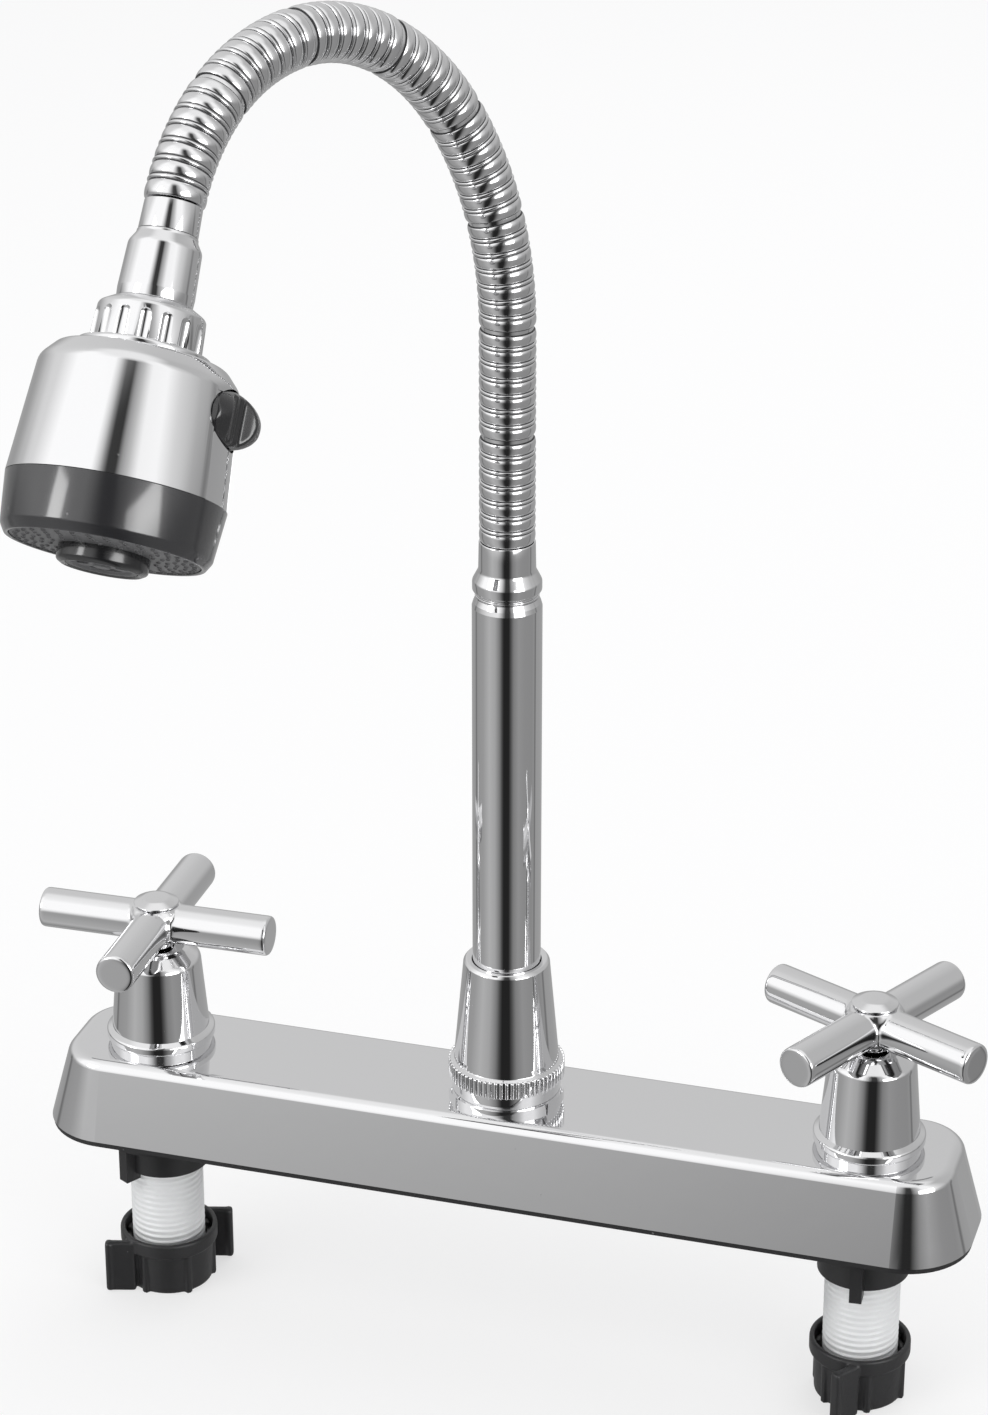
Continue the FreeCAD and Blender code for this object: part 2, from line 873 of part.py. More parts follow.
def make_cartridge(label, side):
    bore = size.stem_radius + size.running_gap
    chamber = size.cartridge_chamber_radius
    roof = size.cartridge_chamber_top
    corners = [
        (chamber, size.cartridge_bottom),
        (size.cartridge_radius, size.cartridge_bottom),
        (size.cartridge_radius, size.cartridge_top),
        (bore, size.cartridge_top),
        (bore, roof),
        (chamber, roof),
    ]
    body = new_body(label)
    revolve(body, corners)
    # the side port lines up with the channel to the spout
    port = disc(NOTHING, size.cartridge_port_height, size.cartridge_port)
    pocket(body, port, size.cartridge_radius * 2, role="YZ_Plane", reverse=side < 0)
    return keep(body, label, at_side(side))


def make_seat(label, side):
    high = size.cartridge_bottom
    outer = size.well_bore - size.running_gap
    low = high - size.seat_height
    return turned_ring(label, size.seat_bore, outer, low, high, at_side(side))


def make_stem(label, side, turn):
    hole = size.handle_screw_radius + size.running_gap
    screw_foot = handle_socket_top - size.handle_screw_length - size.free_gap * 3
    tip = stem_tip_top
    corners = [
        (NOTHING, size.stem_foot_bottom),
        (size.stem_foot_radius, size.stem_foot_bottom),
        (size.stem_foot_radius, size.stem_foot_top),
        (size.stem_radius, size.stem_foot_top),
        (size.stem_radius, size.stem_shoulder),
        (size.stem_tip_radius, size.stem_shoulder),
        (size.stem_tip_radius, tip),
        (hole, tip),
        (hole, screw_foot),
        (NOTHING, screw_foot),
    ]
    return turned(label, corners, (), at_side(side, 0.0, turn))


def make_bonnet(label, side):
    inner = size.cartridge_radius + size.running_gap
    roof = size.bonnet_roof
    corners = [
        (inner, size.cover_top),
        (size.bonnet_ring_radius, size.cover_top),
        (size.bonnet_ring_radius, size.bonnet_ring_top),
        (size.bonnet_bead_radius, size.bonnet_bead_low),
        (size.bonnet_bead_radius, size.bonnet_bead_high),
        (size.bonnet_cone_foot_radius, size.bonnet_cone_foot),
        (size.bonnet_cone_top_radius, size.bonnet_cone_top),
        (size.bonnet_crown_radius, size.bonnet_top - size.bonnet_lip / 2),
        (size.bonnet_crown_radius - size.bonnet_lip, size.bonnet_top),
        (size.bonnet_mouth_radius, size.bonnet_top),
        (size.bonnet_mouth_radius, roof),
        (inner, roof),
    ]
    rounds = [
        ([(size.bonnet_cone_top_radius, size.bonnet_cone_top)], size.bonnet_shoulder_round),
        (
            [
                (size.bonnet_bead_radius, size.bonnet_bead_low),
                (size.bonnet_bead_radius, size.bonnet_bead_high),
            ],
            size.bonnet_bead_round,
        ),
    ]
    return turned(label, corners, rounds, at_side(side))


# Cross handles: hub, four round arms, a screw into the stem and a domed button over it


def make_handle(label, side, turn):
    body = new_body(label)
    hub = [
        (NOTHING, handle_foot),
        (size.handle_foot_radius, handle_foot),
        (size.handle_foot_radius, handle_waist),
        (size.handle_hub_radius, handle_hub_low),
        (size.handle_hub_radius, handle_hub_high),
        (size.handle_crown_radius, handle_top),
        (NOTHING, handle_top),
    ]
    revolve(body, hub)
    arm = disc(NOTHING, handle_height, size.arm_radius)
    pad(body, arm, size.arm_reach * 2, role="YZ_Plane", both_ways=True)
    pad(body, arm, size.arm_reach * 2, role="XZ_Plane", both_ways=True)
    names = []
    for number, edge in enumerate(body.Tip.Shape.Edges, start=1):
        if isinstance(edge.Curve, Part.Circle):
            centre = edge.Curve.Center
            if math.hypot(centre.x, centre.y) > size.arm_reach.amount - 1e-3:
                names.append("Edge%d" % number)
    soften(body, names, size.arm_chamfer, "PartDesign::Chamfer")
    socket = [
        (NOTHING, handle_foot - size.free_gap),
        (size.stem_tip_radius + size.running_gap, handle_foot - size.free_gap),
        (size.stem_tip_radius + size.running_gap, handle_socket_top),
        (size.handle_screw_radius + size.running_gap, handle_socket_top),
        (size.handle_screw_radius + size.running_gap, handle_shelf),
        (size.handle_counterbore, handle_shelf),
        (size.handle_counterbore, handle_top + size.free_gap),
        (NOTHING, handle_top + size.free_gap),
    ]
    revolve(body, socket, "PartDesign::Groove")
    return keep(body, label, at_side(side, 0.0, turn))


def make_handle_screw(label, side, turn):
    foot = handle_socket_top - size.handle_screw_length
    head_top = handle_shelf + size.handle_screw_head_height
    corners = [
        (NOTHING, foot),
        (size.handle_screw_radius, foot),
        (size.handle_screw_radius, handle_shelf),
        (size.handle_screw_head, handle_shelf),
        (size.handle_screw_head, head_top),
        (NOTHING, head_top),
    ]
    body = new_body(label)
    revolve(body, corners)
    half = size.handle_slot_width / 2
    slot = box_between(-size.handle_screw_head, size.handle_screw_head, -half, half)
    depth = size.handle_slot_depth
    pocket(body, slot, size.handle_screw_head_height, start=head_top - depth, reverse=True)
    return keep(body, label, at_side(side, 0.0, turn))


def make_button(label, side, turn):
    """Shallow dome with a spigot that presses into the counterbore."""
    piece = doc.addObject("Part::Feature", label)
    rim = size.button_radius.amount
    low = handle_top.amount
    edge = low + size.button_rim.amount
    crown = low + size.button_crown.amount
    spigot = size.button_spigot.amount
    foot = low - size.button_spigot_length.amount
    sag = crown - edge
    ball = (rim * rim + sag * sag) / (2 * sag)
    half = math.asin(rim / ball) / 2
    middle = Vector(ball * math.sin(half), 0, crown - ball + ball * math.cos(half))
    dome = Part.Arc(Vector(rim, 0, edge), middle, Vector(0, 0, crown)).toShape()
    stops = [
        Vector(0, 0, crown),
        Vector(0, 0, foot),
        Vector(spigot, 0, foot),
        Vector(spigot, 0, low),
        Vector(rim, 0, low),
        Vector(rim, 0, edge),
    ]
    lines = [Part.makeLine(here, there) for here, there in zip(stops, stops[1:])]
    face = Part.Face(Part.Wire(lines + [dome]))
    piece.Shape = face.revolve(Vector(0, 0, 0), Vector(0, 0, 1), 360)
    return keep(piece, label, at_side(side, 0.0, turn))


# Spout: collar, tube, rings and the fitting at its top

collar_foot = size.cover_top + size.collar_ring_height


def make_collar():
    body = new_body("spout_collar")
    mouth = size.tube_radius + size.free_gap
    corners = [
        (size.collar_bore, collar_foot),
        (size.collar_plain_radius, collar_foot),
        (size.collar_plain_radius, size.collar_plain_top),
        (size.knurl_radius, size.collar_plain_top),
        (size.knurl_radius, size.knurl_top),
        (size.knurl_radius - size.knurl_cut, size.knurl_top),
        (size.collar_cone_radius, size.knurl_top + size.collar_flare),
        (size.collar_top_radius, size.collar_top),
        (mouth, size.collar_top),
        (mouth, size.collar_shelf + size.collar_shelf_slope),
        (size.collar_bore, size.collar_shelf),
    ]
    revolve(body, corners)
    round_rings(body, [(size.collar_top_radius, size.collar_top)], size.collar_round)
    tall = size.knurl_top - size.collar_plain_top
    notch = disc(size.knurl_radius, NOTHING, size.knurl_cut)
    one = pocket(body, notch, tall, start=size.collar_plain_top, reverse=True)
    around(body, one, size.knurl_count)
    return keep(body, "spout_collar")


def make_tube():
    wall = size.tube_wall
    low = size.tube_bottom + size.thrust_washer_height
    inner = size.tube_radius - wall
    ring = size.o_ring_height
    groove = size.tube_radius - size.o_ring_depth
    corners = [(inner, low), (size.tube_radius, low)]
    for foot in (size.o_ring_low, size.o_ring_high):
        corners += [
            (size.tube_radius, foot),
            (groove, foot),
            (groove, foot + ring),
            (size.tube_radius, foot + ring),
        ]
    clip_low = size.hub_neck_top + size.running_gap * 2
    clip_groove = size.tube_radius - size.clip_depth
    corners += [
        (size.tube_radius, clip_low),
        (clip_groove, clip_low),
        (clip_groove, clip_low + size.clip_height),
        (size.tube_radius, clip_low + size.clip_height),
        (size.tube_radius, size.tube_shoulder),
        (size.tube_turn_radius, size.tube_turn),
        (size.tube_lip_radius, size.tube_top),
        (inner, size.tube_top),
    ]
    return turned("spout_tube", corners)


def make_o_rings():
    """Two rubber rings in the grooves of the tube, just clear of the hub's bore."""
    solids = []
    thick = (size.o_ring_depth + size.running_gap).amount
    for foot in (size.o_ring_low, size.o_ring_high):
        middle = foot.amount + size.o_ring_height.amount / 2
        inner = size.tube_radius.amount - size.o_ring_depth.amount
        half = thick * 0.48
        solids.append(Part.makeTorus(inner + half, half, Vector(0, 0, middle)))
    return group("spout_o_rings", solids)


def make_clip():
    """Open ring that keeps the tube from lifting out of the hub."""
    body = new_body("spout_clip")
    low = size.hub_neck_top + size.running_gap * 3
    high = low + size.clip_height - size.running_gap * 2
    inner = size.tube_radius - size.clip_depth + size.running_gap
    revolve(body, [(inner, low), (size.clip_radius, low), (size.clip_radius, high), (inner, high)])
    half = math.tan(math.radians(SIZES["clip_opening"] / 2))
    reach = size.clip_radius * 2
    gap = [(NOTHING, NOTHING), (reach, reach * -half), (reach, reach * half)]
    cut = lambda sketch: draw_polygon(sketch, gap)
    pocket(body, cut, size.clip_height * 2, start=low - size.free_gap, reverse=True)
    return keep(body, "spout_clip")


def make_fitting():
    low = size.tube_top - size.fitting_spigot_length
    spigot = size.tube_radius - size.tube_wall - size.running_gap
    corners = [
        (size.fitting_bore, low),
        (spigot, low),
        (spigot, size.tube_top),
        (size.fitting_groove_radius, size.tube_top),
        (size.fitting_groove_radius, size.fitting_groove_top),
        (size.fitting_bulge_radius, size.fitting_bulge_low),
        (size.fitting_bulge_radius, size.fitting_bulge_high),
        (size.fitting_sleeve_radius, size.fitting_sleeve_foot),
        (size.fitting_sleeve_radius, size.neck_start),
        (size.fitting_bore, size.neck_start),
    ]
    rounds = [
        (
            [
                (size.fitting_bulge_radius, size.fitting_bulge_low),
                (size.fitting_bulge_radius, size.fitting_bulge_high),
            ],
            size.fitting_bulge_round,
        ),
        ([(size.fitting_sleeve_radius, size.fitting_sleeve_foot)], size.fitting_sleeve_round),
    ]
    return turned("neck_fitting", corners, rounds)


# Flexible neck: eight ribbed sections, each a short arc, on ball ends

NECK_SECTIONS = 8


def neck_bends():
    for number in range(1, NECK_SECTIONS + 1):
        yield SIZES["bend_%d" % number], SIZES["sway_%d" % number]


class Arc:
    """One section's centre line: an arc that starts at the origin along +Z."""

    def __init__(self, bend, sway):
        self.turn = math.radians(math.hypot(bend, sway))
        self.heading = math.atan2(sway, bend)
        self.length = size.section_length.amount
        self.aside = Vector(math.cos(self.heading), math.sin(self.heading), 0)

    def place(self, along):
        """Place at this distance along the arc, Z along the line and X across the bend."""
        axis = Vector(0, 0, 1).cross(self.aside)
        if self.turn < 1e-6:
            return Placement(Vector(0, 0, along), Rotation(axis, self.aside, Vector(0, 0, 1)))
        angle = self.turn * along / self.length
        radius = self.length / self.turn
        spot = self.aside * (radius * (1 - math.cos(angle)))
        spot += Vector(0, 0, radius * math.sin(angle))
        steady = Rotation(axis, self.aside, Vector(0, 0, 1))
        return Placement(spot, Rotation(axis, math.degrees(angle)) * steady)

    def end(self):
        """Place of the next section's start, turned only by the bend."""
        axis = Vector(0, 0, 1).cross(self.aside)
        return Placement(self.place(self.length).Base, Rotation(axis, math.degrees(self.turn)))


def circle_at(place, radius):
    ring = Part.Wire(Part.Edge(Part.Circle(Vector(0, 0, 0), Vector(0, 0, 1), radius)))
    ring.Placement = place
    return ring


def neck_tube(arc, stations):
    """Ruled loft through circles given as (distance along, radius)."""
    rings = [circle_at(arc.place(along), radius) for along, radius in stations]
    return Part.makeLoft(rings, True, True)


def rib_stations(length, first_gap, last_gap):
    """Four circles for each rib: up its flank, along its crest and down again."""
    count = int(SIZES["ribs_per_section"])
    crest = size.rib_crest_radius.amount
    root = size.rib_root_radius.amount
    slope = size.rib_slope.amount
    gap = size.rib_gap.amount
    pitch = length / count
    stations = []
    for number in range(count):
        low = number * pitch + (first_gap if number == 0 else gap) / 2
        high = (number + 1) * pitch - (last_gap if number == count - 1 else gap) / 2
        stations += [(low, root), (low + slope, crest), (high - slope, crest), (high, root)]
    return stations


def make_neck():
    """Makes the sections one after another and returns the place of the neck's end."""
    place = Placement(
        Vector(0, 0, size.neck_start.amount),
        Rotation(Vector(0, 0, 1), size.neck_heading.amount),
    )
    ball = size.ball_radius.amount
    bore = size.neck_bore.amount
    length = size.section_length.amount
    for number, (bend, sway) in enumerate(neck_bends(), start=1):
        arc = Arc(bend, sway)
        first = number == 1
        last = number == NECK_SECTIONS
        opening = size.joint_gap.amount
        stations = rib_stations(length, 0.0 if first else opening, 0.0 if last else opening)
        solid = neck_tube(arc, stations)
        if not last:
            solid = solid.fuse(Part.makeSphere(ball, arc.place(length).Base))
        steps = [length * step / 8 for step in range(9)]
        solid = solid.cut(neck_tube(arc, [(step, bore) for step in steps]))
        tail = Part.makeCylinder(bore, ball * 2)
        tail.Placement = arc.place(length)
        solid = solid.cut(tail)
        if not first:
            hollow = Part.makeSphere(ball + size.socket_gap.amount)
            solid = solid.cut(hollow)
        lead = Part.makeCylinder(bore, ball * 2, Vector(0, 0, -ball))
        solid = solid.cut(lead)
        piece = doc.addObject("Part::Feature", "neck_section_%d" % number)
        piece.Shape = solid.Solids[0] if len(solid.Solids) == 1 else solid
        keep(piece, "neck_section_%d" % number, place)
        place = place.multiply(arc.end())
    return place


# Fittings between neck and head. Heights run down from the end of the neck, so the head's
# own frame has +Z back up the neck and +X towards the mode switch.


def head_place(neck_end):
    """The head hangs from the neck's end with its switch at its bearing."""
    over = Rotation(Vector(1, 0, 0), 180)
    spin = Rotation(Vector(0, 0, 1), size.switch_bearing.amount)
    return Placement(neck_end.Base, neck_end.Rotation * over * spin)


def make_end_sleeve(place):
    bore = size.fitting_bore
    corners = [
        (bore, -size.end_sleeve_foot),
        (size.end_sleeve_radius, -size.end_sleeve_foot),
        (size.end_sleeve_radius, -size.end_sleeve_top),
        (bore, -size.end_sleeve_top),
    ]
    rim = [(size.end_sleeve_radius, -size.end_sleeve_top)]
    return turned("neck_end_sleeve", corners, [(rim, size.free_gap)], place)


def make_adapter(place):
    corners = [
        (size.adapter_bore, -size.adapter_flange_foot),
        (size.adapter_flange_radius, -size.adapter_flange_foot),
        (size.adapter_flange_radius, -size.adapter_flange_top),
        (size.adapter_stem_radius, -size.adapter_flange_top),
        (size.adapter_stem_radius, -size.adapter_foot),
        (size.adapter_radius, -size.adapter_foot),
        (size.adapter_shoulder_radius, -size.adapter_shoulder),
        (size.end_sleeve_radius, -size.end_sleeve_foot),
        (size.adapter_bore, -size.end_sleeve_foot),
    ]
    shoulder = [(size.adapter_shoulder_radius, -size.adapter_shoulder)]
    return turned("neck_adapter", corners, [(shoulder, size.adapter_shoulder_round)], place)


def make_union_nut(place):
    body = new_body("union_nut")
    throat = size.adapter_stem_radius + size.free_gap
    corners = [
        (size.union_bore, -size.union_foot),
        (size.union_radius, -size.union_foot),
        (size.union_radius - size.union_taper, -size.union_shoulder),
        (size.union_crown_radius, -size.union_crown),
        (throat, -size.union_crown),
        (throat, -size.union_shelf),
        (size.union_bore, -size.union_shelf),
    ]
    revolve(body, corners)
    shoulder = [(size.union_radius - size.union_taper, -size.union_shoulder)]
    round_rings(body, shoulder, size.union_shoulder_round)
    tall = size.union_foot - size.union_flute_top
    flute = disc(size.union_radius, NOTHING, size.union_flute_radius)
    one = pocket(body, flute, tall, start=-size.union_foot, reverse=True)
    around(body, one, size.union_flute_count)
    return keep(body, "union_nut", place)


def make_union_washer(place):
    high = -size.adapter_flange_foot
    outer = size.union_bore - size.free_gap
    low = high - size.washer_height
    return turned_ring("union_washer", size.adapter_bore, outer, low, high, place)


# Spray head. The diverter body hangs just under the inlet's spigot, and the switch's pin lies
# a little below its top. What sits in the shell takes its radii from the shell's foot.

core_top = size.inlet_spigot_foot + size.free_gap
switch_height = core_top + size.switch_drop
skirt_foot_radius = size.shell_foot_radius - size.skirt_taper
skirt_lip_radius = skirt_foot_radius - size.skirt_lip_step
spigot_radius = size.shell_foot_radius - size.shell_wall - size.free_gap * 2
skirt_bore = spigot_radius - size.skirt_spigot_wall
face_radius = skirt_bore - size.face_gap
core_flange_radius = skirt_bore - size.core_flange_gap


def make_head_inlet(place):
    bore = size.adapter_bore
    corners = [
        (bore, -size.inlet_spigot_foot),
        (size.inlet_spigot_radius, -size.inlet_spigot_foot),
        (size.inlet_spigot_radius, -size.inlet_disc_foot),
        (size.inlet_disc_radius, -size.inlet_disc_foot),
        (size.inlet_disc_radius, -size.inlet_disc_top),
        (size.inlet_stub_radius, -size.inlet_disc_top),
        (size.inlet_stub_radius, -size.inlet_stub_top),
        (bore, -size.inlet_stub_top),
    ]
    return turned("head_inlet", corners, (), place)


def slot_outline(length, width, across, up):
    """Drawing function for a slot with round ends along the sketch's X."""
    def draw(sketch):
        half = (length - width) / 2
        radius = width / 2
        arcs = []
        for way, first in ((1, -90), (-1, 90)):
            centre = across + half * way
            circle = Part.Circle(Vector(centre.amount, up.amount, 0), Vector(0, 0, 1), radius.amount)
            start = math.radians(first)
            number = sketch.addGeometry(Part.ArcOfCircle(circle, start, start + math.pi))
            pin_point(sketch, number, 3, centre, up)
            fixed = sketch.addConstraint(Sketcher.Constraint("Radius", number, radius.amount))
            sketch.setExpression("Constraints[%d]" % fixed, radius.text)
            arcs.append(number)
        for here, there in ((arcs[0], arcs[1]), (arcs[1], arcs[0])):
            line = sketch.addGeometry(
                Part.LineSegment(sketch.getPoint(here, 2), sketch.getPoint(there, 1))
            )
            sketch.addConstraint(Sketcher.Constraint("Tangent", here, 2, line, 1))
            sketch.addConstraint(Sketcher.Constraint("Tangent", line, 2, there, 1))
    return draw


def make_head_shell(place):
    body = new_body("head_shell")
    wall = size.shell_wall
    throat = size.inlet_spigot_radius + size.running_gap
    top = -size.inlet_disc_foot
    shoulder = -size.shell_shoulder
    foot = -size.shell_foot
    corners = [
        (throat, top),
        (size.shell_roof_radius, top),
        (size.shell_shoulder_radius, shoulder),
        (size.shell_foot_radius, foot),
        (size.shell_foot_radius - wall, foot),
        (size.shell_shoulder_radius - wall, shoulder - wall / 2),
        (size.shell_roof_radius - wall, top - wall),
        (throat, top - wall),
    ]
    revolve(body, corners)
    rims = [(size.shell_roof_radius, top), (size.shell_shoulder_radius, shoulder)]
    round_rings(body, rims, size.shell_round)
    depth = size.shell_panel_depth
    panel = [
        (size.shell_shoulder_radius - depth, shoulder),
        (size.shell_foot_radius - depth, foot),
        (size.shell_foot_radius + depth, foot),
        (size.shell_shoulder_radius + depth, shoulder),
    ]
    revolve(body, panel, "PartDesign::Groove", size.shell_panel_angle)
    reach = size.shell_foot_radius
    width = size.switch_width + 2 * size.switch_slot_gap
    slot = slot_outline(size.switch_slot_length, width, NOTHING, -switch_height)
    pocket(body, slot, reach * 2, role="YZ_Plane", reverse=True)
    return keep(body, "head_shell", place)


def make_skirt(place):
    bore = skirt_bore
    spigot = spigot_radius
    lip = face_radius - size.free_gap * 2
    corners = [
        (lip, -size.skirt_bottom),
        (skirt_lip_radius, -size.skirt_bottom),
        (skirt_foot_radius, -size.skirt_foot),
        (size.shell_foot_radius, -size.shell_foot),
        (spigot, -size.shell_foot),
        (spigot, -size.skirt_spigot_top),
        (bore, -size.skirt_spigot_top),
        (bore, -size.face_bottom),
        (lip, -size.face_bottom),
    ]
    foot = [(skirt_foot_radius, -size.skirt_foot)]
    return turned("head_skirt", corners, [(foot, size.skirt_round)], place)


def make_face(place):
    body = new_body("spray_face")
    top = -size.face_top
    foot = -size.face_bottom
    corners = [
        (size.face_hole, foot),
        (face_radius, foot),
        (face_radius, top),
        (size.face_hole, top),
    ]
    revolve(body, corners)
    thick = size.face_bottom - size.face_top
    rings = (
        (face_radius - size.nozzle_inner_inset, size.nozzle_count_inner),
        (face_radius - size.nozzle_middle_inset, size.nozzle_count_middle),
        (face_radius - size.nozzle_outer_inset, size.nozzle_count_outer),
    )
    for radius, count in rings:
        hole = disc(radius, NOTHING, size.nozzle_radius)
        one = pocket(body, hole, thick, start=foot, reverse=True)
        around(body, one, count)
    return keep(body, "spray_face", place)


def make_aerator(place):
    foot = -size.aerator_bottom
    face = -size.face_bottom - size.running_gap
    corners = [
        (size.aerator_bore, foot),
        (size.aerator_radius, foot),
        (size.aerator_radius, face),
        (size.aerator_stem_radius, face),
        (size.aerator_stem_radius, -size.aerator_stem_top),
        (size.aerator_bore, -size.aerator_stem_top),
    ]
    rim = [(size.aerator_radius, foot)]
    return turned("aerator_ring", corners, [(rim, size.aerator_round)], place)


def make_insert(place):
    body = new_body("aerator_insert")
    low = -size.insert_bottom
    outer = size.aerator_bore - size.running_gap
    thick = size.insert_bottom - size.insert_top
    revolve(body, [(NOTHING, low), (outer, low), (outer, low + thick), (NOTHING, low + thick)])
    window = disc(size.insert_slot_ring, NOTHING, size.insert_slot_radius)
    one = pocket(body, window, thick * 3, start=low, both_ways=True)
    around(body, one, size.insert_slot_count)
    return keep(body, "aerator_insert", place)


def make_core(place):
    """Inner body of the head: flange on the skirt, plunger bore and ears for the switch pin."""
    body = new_body("diverter_body")
    top = -core_top
    foot = -size.core_foot
    bore = size.core_bore
    corners = [
        (bore, foot),
        (size.core_radius, foot),
        (size.core_radius, -size.core_flange_foot),
        (core_flange_radius, -size.core_flange_foot),
        (core_flange_radius, -size.core_flange_top),
        (size.core_radius, -size.core_flange_top),
        (size.core_radius, top),
        (bore, top),
    ]
    revolve(body, corners)
    level = -switch_height
    thick = size.switch_ear_thickness
    tail = size.switch_tail_width + size.switch_slot_gap
    half = size.switch_ear_width / 2
    ears = box_between(size.plunger_place, size.switch_ear_reach, -half, half)
    for low in (level + tail / 2, level - tail / 2 - thick):
        pad(body, ears, thick, start=low)
    swing = size.switch_tail_thickness + size.switch_slot_gap * 3
    slit = box_between(size.plunger_place, size.core_radius + size.free_gap, -swing, swing)
    pocket(body, slit, tail, start=level - tail / 2, reverse=True)
    channel = disc(size.plunger_place, level, size.plunger_radius + size.running_gap)
    pocket(body, channel, size.core_radius * 2, role="XZ_Plane", both_ways=True)
    pin = disc(size.switch_pivot, NOTHING, size.pin_radius)
    pocket(body, pin, thick * 8, start=level - thick * 4, reverse=True)
    return keep(body, "diverter_body", place)


def make_plunger(place):
    """Spool across the head that the switch's tail moves."""
    half = size.plunger_length / 2
    neck = size.plunger_groove / 2
    corners = [
        (NOTHING, -half),
        (size.plunger_radius, -half),
        (size.plunger_radius, -neck),
        (size.plunger_neck, -neck),
        (size.plunger_neck, neck),
        (size.plunger_radius, neck),
        (size.plunger_radius, half),
        (NOTHING, half),
    ]
    lever = size.switch_pivot.amount - size.switch_tail_end.amount
    shift = -lever * math.sin(math.radians(size.switch_tilt.amount))
    spot = Vector(size.plunger_place.amount, shift, -switch_height.amount)
    across = Placement(spot, Rotation(Vector(1, 0, 0), -90))
    return turned("diverter_plunger", corners, (), place.multiply(across))


def make_switch(place):
    """Rocker with two lobes and a saddle between them, on a pin, with a tail inside."""
    body = new_body("mode_switch")
    half = size.switch_length / 2
    # how far along each half the saddle ends and the lobe's flat starts and ends
    saddle_end, lobe_start, lobe_end = 0.1, 0.35, 0.72
    inner = size.switch_inner
    outer = size.switch_outer

    def lobed(sketch):
        corners = [
            (inner, -half),
            (outer - size.switch_edge, -half),
            (outer, -half * lobe_end),
            (outer, -half * lobe_start),
            (size.switch_saddle, -half * saddle_end),
            (size.switch_saddle, half * saddle_end),
            (outer, half * lobe_start),
            (outer, half * lobe_end),
            (outer - size.switch_edge, half),
            (inner, half),
        ]
        draw_polygon(sketch, corners)

    pad(body, lobed, size.switch_width, both_ways=True)
    tail = box_between(
        size.switch_tail_end,
        inner + size.switch_edge / 2,
        -size.switch_tail_thickness / 2,
        size.switch_tail_thickness / 2,
    )
    pad(body, tail, size.switch_tail_width, both_ways=True)
    knuckle = disc(size.switch_pivot, NOTHING, size.pin_radius * 2)
    pad(body, knuckle, size.switch_tail_width, both_ways=True)
    pin = disc(size.switch_pivot, NOTHING, size.pin_radius + size.running_gap)
    pocket(body, pin, size.switch_width * 2, both_ways=True)
    doc.recompute()
    corners = []
    for number, edge in enumerate(body.Tip.Shape.Edges, start=1):
        box = edge.BoundBox
        far = abs(abs(box.YMin) - half.amount) < 1e-3 and box.YLength < 1e-3
        flat = box.ZLength < 1e-3 and box.XLength > size.switch_edge.amount
        if far and flat:
            corners.append("Edge%d" % number)
    soften(body, corners, size.switch_round)
    pivot = Vector(size.switch_pivot.amount, 0, 0)
    tilt = Placement(Vector(0, 0, 0), Rotation(Vector(0, 0, 1), size.switch_tilt.amount), pivot)
    level = Placement(Vector(0, 0, -switch_height.amount), Rotation())
    return keep(body, "mode_switch", place.multiply(level).multiply(tilt))


def make_switch_pin(place):
    reach = size.switch_tail_width / 2 + size.switch_slot_gap / 2 + size.switch_ear_thickness
    body = new_body("switch_pin")
    pad(body, disc(size.switch_pivot, NOTHING, size.pin_radius), reach * 2, both_ways=True)
    level = Placement(Vector(0, 0, -switch_height.amount), Rotation())
    return keep(body, "switch_pin", place.multiply(level))


# The tap is built from the deck up

make_base_plate()
make_base_cover()
make_cover_screws()
make_waterway()
turns = {"left": size.left_handle_turn.amount, "right": size.right_handle_turn.amount}
nut_turns = {"left": 196.0, "right": 233.0}
for hand, way in SIDES:
    make_shank("shank_" + hand, way)
    make_nut("lock_nut_" + hand, way, nut_turns[hand])
    make_nut_ring("lock_ring_" + hand, way)
    make_seat("valve_seat_" + hand, way)
    make_cartridge("valve_cartridge_" + hand, way)
    make_stem("valve_stem_" + hand, way, turns[hand])
    make_bonnet("bonnet_" + hand, way)
    make_handle("handle_" + hand, way, turns[hand])
    make_handle_screw("handle_screw_" + hand, way, turns[hand])
    make_button("handle_button_" + hand, way, turns[hand])
turned_ring("thrust_washer", size.hub_inlet_bore, size.tube_radius, size.tube_bottom,
            size.tube_bottom + size.thrust_washer_height)
turned_ring("collar_ring", size.collar_bore, size.collar_ring_radius, size.cover_top, collar_foot)
make_collar()
make_tube()
make_o_rings()
make_clip()
make_fitting()
neck_end = make_neck()
head = head_place(neck_end)
make_end_sleeve(head)
make_adapter(head)
make_union_nut(head)
make_union_washer(head)
make_head_inlet(head)
make_head_shell(head)
make_skirt(head)
make_face(head)
make_aerator(head)
make_insert(head)
make_core(head)
make_plunger(head)
make_switch(head)
make_switch_pin(head)
doc.recompute()


def check_and_write():
    """Stops on a failed or empty piece, then writes one file for each piece."""
    for thing in doc.Objects:
        if "Invalid" in thing.State or "Error" in thing.State:
            raise RuntimeError("%s failed: %s" % (thing.Label, thing.State))
    os.makedirs("parts", exist_ok=True)
    for label, piece in sorted(pieces.items()):
        shape = piece.Shape
        if shape.isNull() or not shape.isValid() or not shape.Solids:
            raise RuntimeError("%s has no sound shape" % label)
        shape.exportStep("parts/%s.step" % label)


check_and_write()
print(len(pieces), "pieces")
print("end of the neck", neck_end.Base, neck_end.Rotation.multVec(Vector(0, 0, 1)))
print("switch side of the head", head.Rotation.multVec(Vector(1, 0, 0)))
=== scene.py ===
import math

import bpy
from mathutils import Matrix, Vector


